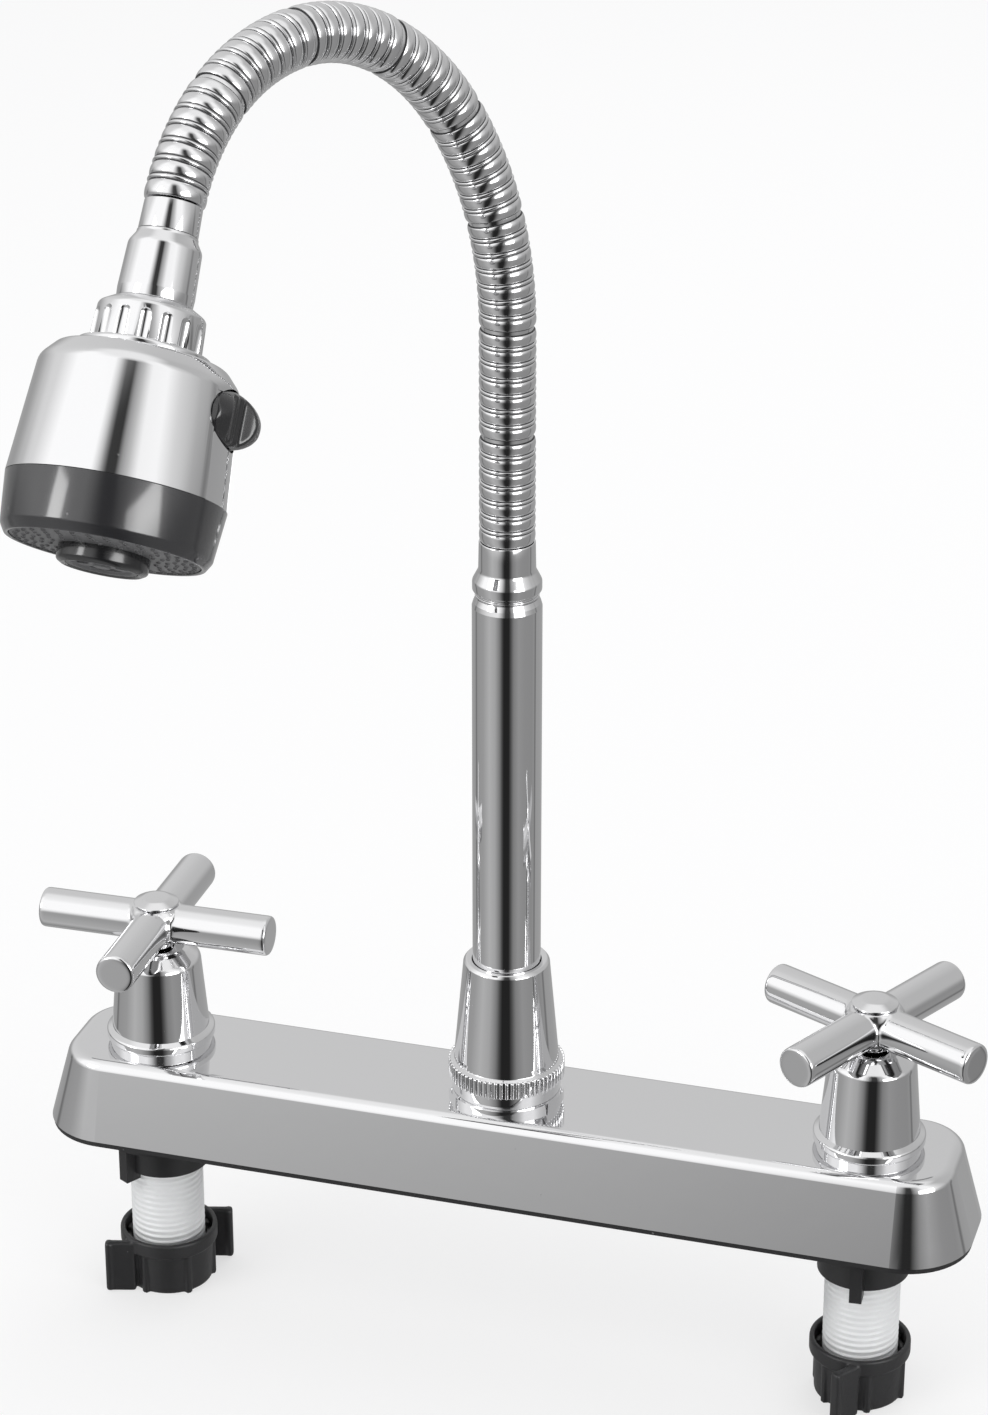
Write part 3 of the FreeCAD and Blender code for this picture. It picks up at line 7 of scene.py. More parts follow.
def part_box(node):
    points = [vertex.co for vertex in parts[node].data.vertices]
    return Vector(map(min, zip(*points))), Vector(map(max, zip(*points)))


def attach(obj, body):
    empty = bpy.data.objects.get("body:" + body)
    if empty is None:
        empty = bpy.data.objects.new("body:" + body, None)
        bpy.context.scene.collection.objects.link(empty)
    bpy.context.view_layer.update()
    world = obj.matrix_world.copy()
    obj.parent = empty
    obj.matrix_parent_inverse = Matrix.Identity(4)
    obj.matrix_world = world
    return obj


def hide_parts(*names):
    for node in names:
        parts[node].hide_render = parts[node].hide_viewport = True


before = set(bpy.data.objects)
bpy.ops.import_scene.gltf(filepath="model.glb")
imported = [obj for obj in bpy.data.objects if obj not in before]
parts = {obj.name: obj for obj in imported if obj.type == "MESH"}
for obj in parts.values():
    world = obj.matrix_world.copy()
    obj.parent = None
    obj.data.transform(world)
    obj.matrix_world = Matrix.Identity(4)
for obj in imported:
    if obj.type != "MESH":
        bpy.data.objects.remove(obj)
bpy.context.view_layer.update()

# Floor and studio light. The tap stands on its two lock nuts on a pale floor. The world gives
# even light, and metal mirrors a studio: white panels high up on both sides of the viewer, grey
# ones lower down, a narrow dark gap straight ahead, and a bright soft box on each side.

floor_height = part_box("lock_nut_left")[0][2]


class Socket:
    """An output in a node tree, which can be added, multiplied, divided or taken from a number."""

    def __init__(self, tree, output):
        self.tree = tree
        self.output = output

    def node(self, kind, settings=None, inputs=None, pick=0):
        """Adds a node: first its settings, then the values or links of its inputs."""
        made = self.tree.nodes.new("ShaderNode" + kind)
        for name, value in (settings or {}).items():
            if name == "stops":
                ramp = made.color_ramp.elements
                while len(ramp) < len(value):
                    ramp.new(0.5)
                for stop, (place, level) in zip(ramp, value):
                    stop.position = place
                    stop.color = (level, level, level, 1.0)
            else:
                setattr(made, name, value)
        for name, value in (inputs or {}).items():
            if isinstance(value, Socket):
                self.tree.links.new(value.output, made.inputs[name])
            else:
                made.inputs[name].default_value = value
        return Socket(self.tree, made.outputs[pick])

    def twin(self, name):
        """Another output of the same node."""
        return Socket(self.tree, self.output.node.outputs[name])

    def math(self, operation, *others):
        return self.node("Math", {"operation": operation}, dict(enumerate((self, *others))))

    def __add__(self, other):
        return self.math("ADD", other)

    def __mul__(self, other):
        return self.math("MULTIPLY", other)

    def __rsub__(self, other):
        return self * -1.0 + other

    def __truediv__(self, other):
        return self.math("DIVIDE", other)

    def between(self, low, high):
        """Goes smoothly from 0 to 1 as this goes from low to high."""
        settings = {"interpolation_type": "SMOOTHSTEP"}
        return self.node("MapRange", settings, {0: self, 1: low, 2: high})

    def blend(self, first, second):
        """Colour mix: first where this is 0, second where it is 1."""
        return self.node("Mix", {"data_type": "RGBA"}, {0: self, 6: first, 7: second}, pick=2)

    def noise(self, scale, detail=2.0, roughness=0.5):
        inputs = {"Vector": self, "Scale": scale, "Detail": detail, "Roughness": roughness}
        return self.node("TexNoise", None, inputs)

    def into(self, *ends):
        """Links this to the inputs given as (node, input name)."""
        for node, name in ends:
            self.tree.links.new(self.output, node.inputs[name])


def tree_of(owner):
    owner.use_nodes = True
    owner.node_tree.nodes.clear()
    return Socket(owner.node_tree, None)


# the camera's axes, which the studio's bearings count from
view_to_right = Vector((0.95706691, 0.28986711, 0.0))
view_upward = Vector((-0.11831539, 0.39064708, 0.91290543))
view_back = Vector((0.26462125, -0.87371158, 0.40817113))
toward_viewer = Vector((view_back.x, view_back.y, 0.0)).normalized()

# brightness of the panels by degrees to the right of the viewer
LOW_PANELS = (
    (-180, 0.42), (-140, 0.37), (-128, 0.36), (-122, 0.16), (-114, 0.34), (-85, 0.38),
    (-60, 0.52), (-40, 0.44), (-25, 0.24), (-17, 0.08), (-11, 0.02), (6, 0.02), (13, 0.10),
    (22, 0.25), (38, 0.34), (60, 0.31), (90, 0.30), (100, 0.33), (105, 0.16), (111, 0.37),
    (180, 0.42),
)
HIGH_PANELS = (
    (-180, 0.68), (-130, 0.75), (-110, 0.82), (-90, 1.20), (-30, 1.20), (-20, 0.75),
    (-12, 0.28), (-6, 0.05), (7, 0.045), (14, 0.36), (24, 0.62), (36, 1.10), (55, 1.15),
    (70, 0.80), (90, 0.55), (120, 0.55), (180, 0.68),
)
# sines of the elevation between which one kind of panel passes into the next
LOW_TO_HIGH = (-0.14, 0.30)
HIGH_TO_CEILING = (0.80, 0.97)
# soft boxes: degrees to the right of the viewer, from and to, sine of the elevation from and to
SOFT_BOXES = ((-72.0, -50.0, 0.20, 0.60), (20.0, 60.0, -0.02, 0.46))
SOFT_BOX_POWER = 5.0
SIDE_FADE = 5.0
EDGE_FADE = 0.06
WHITE = (1.0, 1.0, 1.0, 1.0)
DAYLIGHT = (0.78, 0.78, 0.79, 1.0)


def panels(bearing, levels):
    """Brightness of a row of panels by the bearing."""
    stops = [((angle + 180.0) / 360.0, level) for angle, level in levels]
    return bearing.node("ValToRGB", {"stops": stops}, {0: bearing})


def turn_share(first, last):
    """Rises from 0 to 1 between two bearings in degrees."""
    return bearing.between((first + 180.0) / 360.0, (last + 180.0) / 360.0)


studio = bpy.data.worlds.new("studio")
bpy.context.scene.world = studio
air = tree_of(studio)
direction = air.node("TexCoord").twin("Generated")


def along(vector):
    """How far the ray's direction runs along a vector."""
    settings = {"operation": "DOT_PRODUCT"}
    return direction.node("VectorMath", settings, {0: direction, 1: vector}, pick=1)


sideways = along(view_to_right)
forwards = along(toward_viewer)
height = along((0.0, 0.0, 1.0))
bearing = sideways.math("ARCTAN2", forwards) / (2.0 * math.pi) + 0.5
upper = height.between(*LOW_TO_HIGH)
room = upper.blend(panels(bearing, LOW_PANELS), panels(bearing, HIGH_PANELS))
room = height.between(*HIGH_TO_CEILING).blend(room, WHITE)
path = air.node("LightPath")
sky = path.twin("Is Glossy Ray").blend(DAYLIGHT, room)
unlit = (path.twin("Is Camera Ray") + path.twin("Is Transmission Ray")).math("MINIMUM", 1.0)
sky = unlit.blend(sky, WHITE)
lamps = 0.0
for first, last, low, high in SOFT_BOXES:
    across = turn_share(first, first + SIDE_FADE) * (1.0 - turn_share(last - SIDE_FADE, last))
    risen = height.between(low, low + EDGE_FADE)
    upward = risen * (1.0 - height.between(high - EDGE_FADE, high))
    lamps = across * upward + lamps
power = lamps * path.twin("Is Glossy Ray") * SOFT_BOX_POWER + 1.0
light = air.node("Background", None, {"Color": sky, "Strength": power})
light.into((air.tree.nodes.new("ShaderNodeOutputWorld"), "Surface"))

FLOOR_SIZE = 12.0
FLOOR_GLOW = 0.62

bpy.ops.object.select_all(action="DESELECT")
bpy.ops.mesh.primitive_plane_add(size=FLOOR_SIZE, location=(0.0, 0.0, floor_height))
floor = bpy.context.object
floor.name = "floor"
pale = bpy.data.materials.new("pale_floor")
ground = tree_of(pale)
shaded = ground.node(
    "BsdfPrincipled",
    None,
    {"Base Color": (0.93, 0.93, 0.93, 1.0), "Roughness": 0.9, "Specular IOR Level": 0.0},
)
glow = ground.node("Emission", None, {"Color": WHITE, "Strength": 1.0})
seen = ground.node("LightPath").twin("Is Camera Ray")
ground = ground.node("MixShader", None, {0: seen * FLOOR_GLOW, 1: shaded, 2: glow})
ground.into((ground.tree.nodes.new("ShaderNodeOutputMaterial"), "Surface"))
floor.data.materials.append(pale)
floor.visible_glossy = False

LAMPS_AIM = Vector((0.0, 0.0, 0.15))


def area_lamp(name, place, size, power):
    """A square lamp that points at the tap and isn't mirrored in it."""
    lamp = bpy.data.lights.new(name, "AREA")
    lamp.shape = "SQUARE"
    lamp.size = size
    lamp.energy = power
    holder = bpy.data.objects.new(name, lamp)
    holder.location = place
    aim = LAMPS_AIM - Vector(place)
    holder.rotation_euler = aim.to_track_quat("-Z", "Y").to_euler()
    holder.visible_glossy = False
    bpy.context.scene.collection.objects.link(holder)


area_lamp("key_light", (-1.1, -1.2, 1.5), 1.0, 9.0)
area_lamp("fill_light", (1.4, -0.9, 1.0), 1.2, 5.0)
area_lamp("back_light", (0.2, 1.3, 1.4), 1.0, 5.0)

# Camera, at the photograph's viewing angle: in front, a little to the right and above.

FOCAL_LENGTH = 99.54
SENSOR_WIDTH = 36.0
CAMERA_REACH = 50.0
CAMERA_DISTANCE = 1.03179

lens = bpy.data.cameras.new("camera")
lens.lens = FOCAL_LENGTH
lens.sensor_width = SENSOR_WIDTH
lens.clip_end = CAMERA_REACH
camera = bpy.data.objects.new("camera", lens)
turned_to = Matrix((view_to_right, view_upward, view_back)).transposed().to_4x4()
looks_at = Vector((-0.00358, 0.0, 0.1386))
camera.matrix_world = Matrix.Translation(looks_at + view_back * CAMERA_DISTANCE) @ turned_to
bpy.context.scene.collection.objects.link(camera)
bpy.context.scene.camera = camera
bpy.context.scene.view_settings.view_transform = "Standard"

# Base plate. One black moulding lies on the deck: a long plate with a round pad, a boss and a
# fin under each valve. It keeps its CAD shape, with the fine grain of a spark-eroded mould.

# scale, detail and roughness of each noise on mouldings
CLOUD_NOISE = (60.0, 3.0, 0.6)
SPECK_NOISE = (560.0, 1.0, 0.4)
SPECK_RANGE = (0.80, 0.83)
SPECK_LIGHTER = 0.10
SHEEN_SPREAD = 0.14
GRAIN_HEIGHT = 0.0003


def new_finish(name, colour, roughness, metallic=0.0, coat=0.0):
    """A Principled material with its shader and its coordinates on the piece."""
    finish = bpy.data.materials.new(name)
    tree = tree_of(finish)
    inputs = {"Base Color": (*colour, 1.0), "Roughness": roughness, "Metallic": metallic}
    shader = tree.node("BsdfPrincipled", None, {**inputs, "Coat Weight": coat})
    shader.into((tree.tree.nodes.new("ShaderNodeOutputMaterial"), "Surface"))
    return finish, shader.output.node, tree.node("TexCoord").twin("Object")


def moulded(name, colour, roughness, grain=900.0, depth=0.12, drift=0.12, coat=0.0):
    """Moulded plastic: fine grain, slight drift of colour, uneven sheen and a few dust specks."""
    finish, shader, spot = new_finish(name, colour, roughness, 0.0, coat)
    cloud = spot.noise(*CLOUD_NOISE)
    dark = (*[part * (1.0 - drift) for part in colour], 1.0)
    light = (*[min(1.0, part * (1.0 + drift)) for part in colour], 1.0)
    dust = spot.noise(*SPECK_NOISE).between(*SPECK_RANGE)
    specks = (*[min(1.0, part + SPECK_LIGHTER) for part in colour], 1.0)
    dust.blend(cloud.blend(dark, light), specks).into((shader, "Base Color"))
    (cloud * SHEEN_SPREAD + (roughness - SHEEN_SPREAD / 2)).into((shader, "Roughness"))
    fine = spot.noise(grain, 2.0, 0.6)
    bump = fine.node("Bump", None, {"Strength": depth, "Distance": GRAIN_HEIGHT, "Height": fine})
    bump.into((shader, "Normal"))
    return finish


def dress(node_name, finish):
    """Gives a CAD node its finish."""
    node = parts[node_name]
    if not node.material_slots:
        node.data.materials.append(finish)
    for slot in node.material_slots:
        slot.link = "OBJECT"
        slot.material = finish


dress("base_plate", moulded("black_moulding", (0.020, 0.020, 0.021), 0.40))

# Shanks. Two milky nylon pipes with a coarse thread, 14 turns to the inch, hang from the
# waterway through the bosses, and the lock nuts run on them. The thread is one soft helix.

SPACING = 203.2
HALF_SPACING = SPACING / 2
SIDES = (("left", -1), ("right", 1))


def pick(piece):
    """Makes a piece the only one selected and the one at work."""
    bpy.ops.object.select_all(action="DESELECT")
    piece.select_set(True)
    bpy.context.view_layer.objects.active = piece


def drawn(name, points):
    """Draws a line of corners in millimetres, each drawn out from the one before."""
    bpy.ops.object.select_all(action="DESELECT")
    bpy.ops.mesh.primitive_plane_add(size=1.0)
    piece = bpy.context.object
    piece.name = name
    bpy.ops.object.mode_set(mode="EDIT")
    bpy.ops.mesh.merge(type="CENTER")
    bpy.ops.transform.translate(value=points[0])
    for before, after in zip(points, points[1:]):
        step = Vector(after) - Vector(before)
        bpy.ops.mesh.extrude_region_move(TRANSFORM_OT_translate={"value": step})
    bpy.ops.mesh.select_all(action="SELECT")
    return piece


def close_up():
    """Merges what touches in the piece at work and turns its faces outwards."""
    bpy.ops.mesh.select_all(action="SELECT")
    bpy.ops.mesh.remove_doubles(threshold=0.002)
    bpy.ops.mesh.normals_make_consistent(inside=False)
    bpy.ops.object.mode_set(mode="OBJECT")


def work(piece, kind, **settings):
    """Gives the piece one modifier and applies it."""
    pick(piece)
    tool = piece.modifiers.new(kind.lower(), kind)
    for name, value in settings.items():
        setattr(tool, name, value)
    bpy.ops.object.modifier_apply(modifier=tool.name)


def settle(piece, place, finish, soft_angle=30.0):
    """Moves a piece from the bench, where it was made in millimetres, to its place."""
    piece.matrix_world = Matrix.Scale(0.001, 4) @ place
    pick(piece)
    bpy.ops.object.transform_apply(location=True, rotation=True, scale=True)
    bpy.ops.object.shade_smooth_by_angle(angle=math.radians(soft_angle))
    if not piece.data.materials:
        piece.data.materials.append(finish)


def on_valve(side, up=0.0, turn=0.0):
    """Place on the left or right valve's axis."""
    spot = Matrix.Translation((side * HALF_SPACING, 0.0, up))
    return spot @ Matrix.Rotation(math.radians(turn), 4, "Z")


THREAD_PITCH = 1.814
THREAD_TURNS = 26
# shares of the pitch and radii
THREAD_FORM = (
    (0.0, 9.85), (0.14, 9.9), (0.32, 10.3), (0.42, 10.42), (0.56, 10.42), (0.68, 10.3), (0.86, 9.9),
)
THREAD_START = 1.2
SHANK_FOOT = -51.9
SHANK_HEAD = -2.4
SHANK_BORE = 6.4
SHANK_CORE = 9.95
SHANK_SIDES = 72

milky = moulded("milky_nylon", (0.84, 0.85, 0.85), 0.34, depth=0.05, drift=0.03)
milky_shader = milky.node_tree.nodes["Principled BSDF"]
milky_shader.inputs["Subsurface Weight"].default_value = 0.35
milky_shader.inputs["Subsurface Radius"].default_value = (0.004, 0.004, 0.004)
for side_name, side in SIDES:
    crests = []
    for number in range(THREAD_TURNS):
        for share, radius in THREAD_FORM:
            rise = SHANK_FOOT + THREAD_START + (number + share) * THREAD_PITCH
            crests.append((radius, 0.0, rise))
    shank = drawn("threaded_shank_" + side_name, crests)
    bpy.ops.object.mode_set(mode="OBJECT")
    work(
        shank, "SCREW", screw_offset=THREAD_PITCH, steps=SHANK_SIDES, render_steps=SHANK_SIDES,
        use_merge_vertices=True,
    )
    pick(shank)
    bpy.ops.object.mode_set(mode="EDIT")
    close_up()
    bpy.ops.object.select_all(action="DESELECT")
    bpy.ops.mesh.primitive_cylinder_add(
        vertices=SHANK_SIDES, radius=SHANK_CORE, depth=SHANK_HEAD - SHANK_FOOT,
        end_fill_type="NOTHING", location=(0.0, 0.0, (SHANK_HEAD + SHANK_FOOT) / 2),
    )
    core = bpy.context.object
    bpy.ops.object.transform_apply(location=True)
    work(core, "SOLIDIFY", thickness=SHANK_CORE - SHANK_BORE, offset=-1.0)
    work(core, "BEVEL", width=0.5, segments=3, limit_method="ANGLE")
    core.select_set(True)
    shank.select_set(True)
    bpy.context.view_layer.objects.active = shank
    bpy.ops.object.join()
    settle(shank, on_valve(side), milky, 50.0)
    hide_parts("shank_" + side_name)
    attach(shank, "base")

# Lock nuts. Two black nylon nuts clamp the tap to the deck from below. Each has a thick rim
# round a loose ring with teeth, six ribs, and two wings set off-centre for the fingers.

NUT_TOP = -36.5
NUT_TURNS = {"left": 196.0, "right": 233.0}
RIM_RADIUS = 13.95
BODY_RADIUS = 12.7
NUT_MOUTH = 10.75
NUT_FOOT = -17.0
NUT_GRAIN = 0.34
WING_ROOT = 9.0
WING_REACH = 17.6
WING_TOP = -1.0
WING_OFFSET = 9.4
WING_THICKNESS = 2.4
TIP_LENGTH = 2.2
TIP_BULGE = 0.8
RIBS = 6
RIB_RADIUS = 1.1
RIB_SINK = 0.55
RIB_TOP = -4.6
TEETH = 12
TOOTH_TURN = 8.0
TOOTH_MIDDLE = (11.45, 0.0, -3.0)
TOOTH_SIZE = (1.0, 2.6, 1.5)


def rounded(corners, steps=4):
    """Outline of a turned piece from (radius, height, round) corners, rounds drawn as arcs."""
    points = []
    for number, (radius, height, fillet) in enumerate(corners):
        here = Vector((radius, height))
        if not fillet:
            points.append(here)
            continue
        before = (Vector(corners[number - 1][:2]) - here).normalized()
        after = (Vector(corners[(number + 1) % len(corners)][:2]) - here).normalized()
        half = before.angle(after) / 2.0
        centre = here + (before + after).normalized() * (fillet / math.sin(half))
        reach = fillet / math.tan(half)
        start = (here + before * reach - centre).normalized()
        end = (here + after * reach - centre).normalized()
        for step in range(steps + 1):
            points.append(centre + start.slerp(end, step / steps).normalized() * fillet)
    return points


def turned(name, outline, sides=96):
    """Turns an outline of (radius, height) once round Z, as on a lathe."""
    piece = drawn(name, [(radius, 0.0, height) for radius, height in outline])
    bpy.ops.mesh.spin(
        steps=sides, angle=2.0 * math.pi, center=(0.0, 0.0, 0.0), axis=(0.0, 0.0, 1.0)
    )
    close_up()
    return piece


def ring(name, corners, sides=96):
    """A turned piece with a hole: its outline ends where it starts."""
    outline = rounded(corners)
    return turned(name, outline + outline[:1], sides)


def joined(*pieces):
    """Joins pieces into the first one."""
    bpy.ops.object.select_all(action="DESELECT")
    for piece in pieces:
        piece.select_set(True)
    bpy.context.view_layer.objects.active = pieces[0]
    bpy.ops.object.join()
    return pieces[0]


def block(middle, measures, edge, segments=3):
    """A block with rounded edges."""
    bpy.ops.object.select_all(action="DESELECT")
    bpy.ops.mesh.primitive_cube_add(size=1.0, location=middle, scale=measures)
    piece = bpy.context.object
    bpy.ops.object.transform_apply(location=True, scale=True)
    work(piece, "BEVEL", width=edge, segments=segments)
    return piece


def cut_with(piece, cutter, operation="DIFFERENCE"):
    """Cuts a piece with another, which is used up."""
    work(piece, "BOOLEAN", operation=operation, object=cutter, solver="EXACT")
    bpy.data.objects.remove(cutter)


def melted(piece, grain, smoothing):
    """Runs touching solids into one moulding with soft inner corners."""
    work(piece, "REMESH", mode="VOXEL", voxel_size=grain)
    work(piece, "SMOOTH", factor=0.5, iterations=smoothing)


nylon = moulded("black_nylon", (0.024, 0.024, 0.025), 0.42, depth=0.2)
for side_name, side in SIDES:
    nut = ring("lock_nut_body_" + side_name, (
        (NUT_MOUTH, NUT_FOOT, 0.3), (12.2, NUT_FOOT, 0.6), (BODY_RADIUS, -5.1, 0.0),
        (RIM_RADIUS, -4.4, 0.5), (RIM_RADIUS, 0.0, 0.7), (12.5, 0.0, 0.5), (12.5, -5.0, 0.0),
        (NUT_MOUTH, -5.0, 0.0),
    ))
    extras = []
    for way in (-1.0, 1.0):
        tall = WING_TOP - NUT_FOOT
        level = (NUT_FOOT + WING_TOP) / 2
        wing = (way * (WING_REACH + WING_ROOT) / 2, way * WING_OFFSET, level)
        extras.append(block(wing, (WING_REACH - WING_ROOT, WING_THICKNESS, tall), 0.7))
        tip = (way * (WING_REACH - TIP_LENGTH / 2), way * WING_OFFSET, level)
        extras.append(block(tip, (TIP_LENGTH, WING_THICKNESS + TIP_BULGE, tall), 0.9))
    for number in range(RIBS):
        bearing = math.radians(360.0 / RIBS * number)
        across = BODY_RADIUS - RIB_SINK
        spot = (across * math.cos(bearing), across * math.sin(bearing), (NUT_FOOT + RIB_TOP) / 2)
        bpy.ops.object.select_all(action="DESELECT")
        bpy.ops.mesh.primitive_cylinder_add(
            vertices=20, radius=RIB_RADIUS, depth=RIB_TOP - NUT_FOOT, location=spot
        )
        rib = bpy.context.object
        bpy.ops.object.transform_apply(location=True)
        extras.append(rib)
    nut = joined(nut, *extras)
    melted(nut, NUT_GRAIN, 4)
    settle(nut, on_valve(side, NUT_TOP, NUT_TURNS[side_name]), nylon, 60.0)
    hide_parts("lock_nut_" + side_name)
    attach(nut, side_name + "_nut")

    toothed = ring("toothed_ring_" + side_name, (
        (10.85, -4.9, 0.0), (12.1, -4.9, 0.0), (12.1, -3.4, 0.3), (10.85, -3.4, 0.3),
    ), 72)
    teeth = []
    for number in range(TEETH):
        bearing = math.radians(360.0 / TEETH * number + TOOTH_TURN)
        tooth = block(TOOTH_MIDDLE, TOOTH_SIZE, 0.25, 2)
        tooth.matrix_world = Matrix.Rotation(bearing, 4, "Z")
        pick(tooth)
        bpy.ops.object.transform_apply(rotation=True)
        teeth.append(tooth)
    toothed = joined(toothed, *teeth)
    settle(toothed, on_valve(side, NUT_TOP), nylon, 35.0)
    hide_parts("lock_ring_" + side_name)
    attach(toothed, side_name + "_nut_ring")

# Waterway and valves. A grey body inside the cover holds both valve wells and the spout's
# hub. Brass cartridges drop into the wells on rubber seats, and the stems turn in them.

dress("waterway_body", moulded("grey_moulding", (0.12, 0.12, 0.122), 0.45))
rubber = moulded("black_rubber", (0.02, 0.02, 0.02), 0.65)
for name in ("valve_seat_left", "valve_seat_right", "spout_o_rings", "union_washer"):
    dress(name, rubber)
dress("thrust_washer", milky)

# scale, detail and roughness of each noise on plated pieces
WIPING_NOISE = (38.0, 3.0, 0.6)
DUST_NOISE = (620.0, 1.0, 0.4)
DUST_RANGE = (0.80, 0.84)
DUST_DULLING = 0.2
DUST_DARKENING = 0.85
WIPING_SPREAD = 0.05
WIPING_MEAN = 0.02
PEEL_NOISE = (160.0, 1.0, 0.4)
PEEL_HEIGHT = 0.0002


def plated(name, level=0.80, roughness=0.045, peel=0.02, tint=(1.0, 1.0, 1.01)):
    """Bright plating: faint orange peel, wiping marks, and dust that dulls it in specks."""
    colour = tuple(level * part for part in tint)
    finish, shader, spot = new_finish(name, colour, roughness, 1.0)
    wiped = spot.noise(*WIPING_NOISE)
    dust = spot.noise(*DUST_NOISE).between(*DUST_RANGE)
    dull = wiped * WIPING_SPREAD + dust * DUST_DULLING + (roughness - WIPING_MEAN)
    dull.into((shader, "Roughness"))
    dusty = (*[part * DUST_DARKENING for part in colour], 1.0)
    dust.blend((*colour, 1.0), dusty).into((shader, "Base Color"))
    peeled = spot.noise(*PEEL_NOISE)
    bump = peeled.node("Bump", None, {"Strength": peel, "Distance": PEEL_HEIGHT, "Height": peeled})
    bump.into((shader, "Normal"))
    return finish


brass = plated("turned_brass", 0.62, 0.22, 0.05, (1.0, 0.80, 0.45))
for side_name, side in SIDES:
    dress("valve_cartridge_" + side_name, brass)
    dress("valve_stem_" + side_name, plated("bright_stem_" + side_name, 0.78, 0.08))
steel = plated("plain_steel", 0.62, 0.18, 0.04)
for name in ("handle_screw_left", "handle_screw_right", "spout_clip", "switch_pin", "cover_screws"):
    dress(name, steel)

# Base cover. A long chromed shell with slanted sides and a rounded upper edge snaps over the
# base plate and is held by four screws from below.

chrome = plated("bright_chrome")
dress("base_cover", chrome)

# Bonnets. Two chromed bells screw down over the cartridges. Each has a bead above a plain
# ring at its foot and a round shoulder with a recessed mouth for the stem.

for name in ("bonnet_left", "bonnet_right"):
    dress(name, chrome)

# Cross handles. Each is one chromed casting: four round arms run with soft corners into a
# hub that narrows to a waist, and a domed button hides the screw into the valve stem.

ARM_HEIGHT = 60.75
ARM_RADIUS = 5.6
ARM_REACH = 33.4
ARM_EDGE = 0.8
HANDLE_GRAIN = 0.36
HANDLE_TURNS = {"left": 1.0, "right": -26.0}

for side_name, side in SIDES:
    handle = turned("cross_handle_" + side_name, rounded((
        (0.0, 54.0, 0.0), (4.9, 54.0, 0.4), (4.9, 56.0, 0.8), (7.6, 57.6, 1.2),
        (7.6, 64.6, 1.6), (6.4, 66.4, 0.3), (0.0, 66.4, 0.0),
    )), 64)
    arms = []
    for quarter in range(2):
        arm = turned("arm", rounded((
            (0.0, -ARM_REACH, 0.0), (ARM_RADIUS, -ARM_REACH, ARM_EDGE),
            (ARM_RADIUS, ARM_REACH, ARM_EDGE), (0.0, ARM_REACH, 0.0),
        )), 64)
        lying = Matrix.Rotation(math.radians(90.0), 4, "Y" if quarter else "X")
        arm.matrix_world = Matrix.Translation((0.0, 0.0, ARM_HEIGHT)) @ lying
        pick(arm)
        bpy.ops.object.transform_apply(location=True, rotation=True)
        arms.append(arm)
    handle = joined(handle, *arms)
    melted(handle, HANDLE_GRAIN, 10)
    settle(handle, on_valve(side, 0.0, HANDLE_TURNS[side_name]), chrome, 60.0)
    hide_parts("handle_" + side_name)
    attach(handle, side_name + "_handle")

    button = turned("domed_button_" + side_name, rounded((
        (0.0, 65.4, 0.0), (5.6, 65.4, 0.0), (5.6, 66.5, 0.0), (6.3, 66.7, 0.15), (6.25, 67.15, 0.3),
        (3.6, 68.35, 3.0), (0.0, 68.6, 0.0),
    )), 64)
    settle(button, on_valve(side), chrome, 40.0)
    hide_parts("handle_button_" + side_name)
    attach(button, side_name + "_handle")

# Spout collar. A chromed cone with a finely knurled foot screws onto the hub over a thin
# ring and holds the spout tube down. The knurls are upright bars with round edges.

KNURLS = 64
KNURL_MIDDLE = (15.35, 0.0, 31.9)
KNURL_SIZE = (1.2, 0.95, 5.0)
KNURL_EDGE = 0.38


def another(name, pattern):
    """One more object with a copy of the pattern mesh."""
    piece = bpy.data.objects.new(name, pattern.copy())
    bpy.context.scene.collection.objects.link(piece)
    return piece


dress("collar_ring", chrome)
collar = ring("knurled_collar", (
    (11.3, 25.7, 0.2), (14.9, 25.7, 0.3), (14.9, 29.2, 0.2), (15.35, 29.4, 0.1),
    (15.35, 34.3, 0.1), (14.3, 34.75, 0.3), (14.25, 36.4, 0.8), (11.75, 64.1, 0.9),
    (11.0, 65.0, 0.45), (9.45, 64.7, 0.2), (9.45, 43.0, 0.0), (11.3, 41.0, 0.0),
), 160)
knurls = []
for number in range(KNURLS):
    if not knurls:
        knurl = block(KNURL_MIDDLE, KNURL_SIZE, KNURL_EDGE)
        pattern = knurl.data.copy()
    else:
        knurl = another("knurl", pattern)
    knurl.data.transform(Matrix.Rotation(2.0 * math.pi * number / KNURLS, 4, "Z"))
    knurls.append(knurl)
collar = joined(collar, *knurls)
settle(collar, Matrix(), chrome, 35.0)
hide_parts("spout_collar")
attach(collar, "base")

# Spout tube. A straight chromed steel tube turns in the collar. It keeps its CAD shape, and
# its plating is smoother than that of the moulded pieces.

tube_plating = plated("tube_chrome", 0.80, 0.04, 0.012)
dress("spout_tube", tube_plating)

# Neck fitting. A turned and chromed piece plugs into the top of the tube: a thin bead in a
# groove, a bell-shaped bulge and a sleeve that the flexible neck grows out of.

fitting = ring("bell_fitting", (
    (4.2, 169.0, 0.0), (7.9, 169.0, 0.0), (7.9, 171.1, 0.15), (8.45, 171.2, 0.25),
    (8.45, 171.8, 0.25), (8.0, 171.9, 0.15), (8.0, 172.5, 0.15), (9.15, 172.7, 0.8),
    (9.15, 175.5, 1.9), (7.55, 178.6, 2.6), (7.4, 186.1, 0.0), (7.25, 186.45, 0.15),
    (4.2, 186.45, 0.0),
))
settle(fitting, Matrix(), chrome, 40.0)
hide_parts("neck_fitting")
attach(fitting, "spout")

# Flexible neck. A strip of bright metal wound into crowned bands with a narrow rolled ring
# between them. Eight lengths let it bend; at their joints the ring is a ball in its socket.

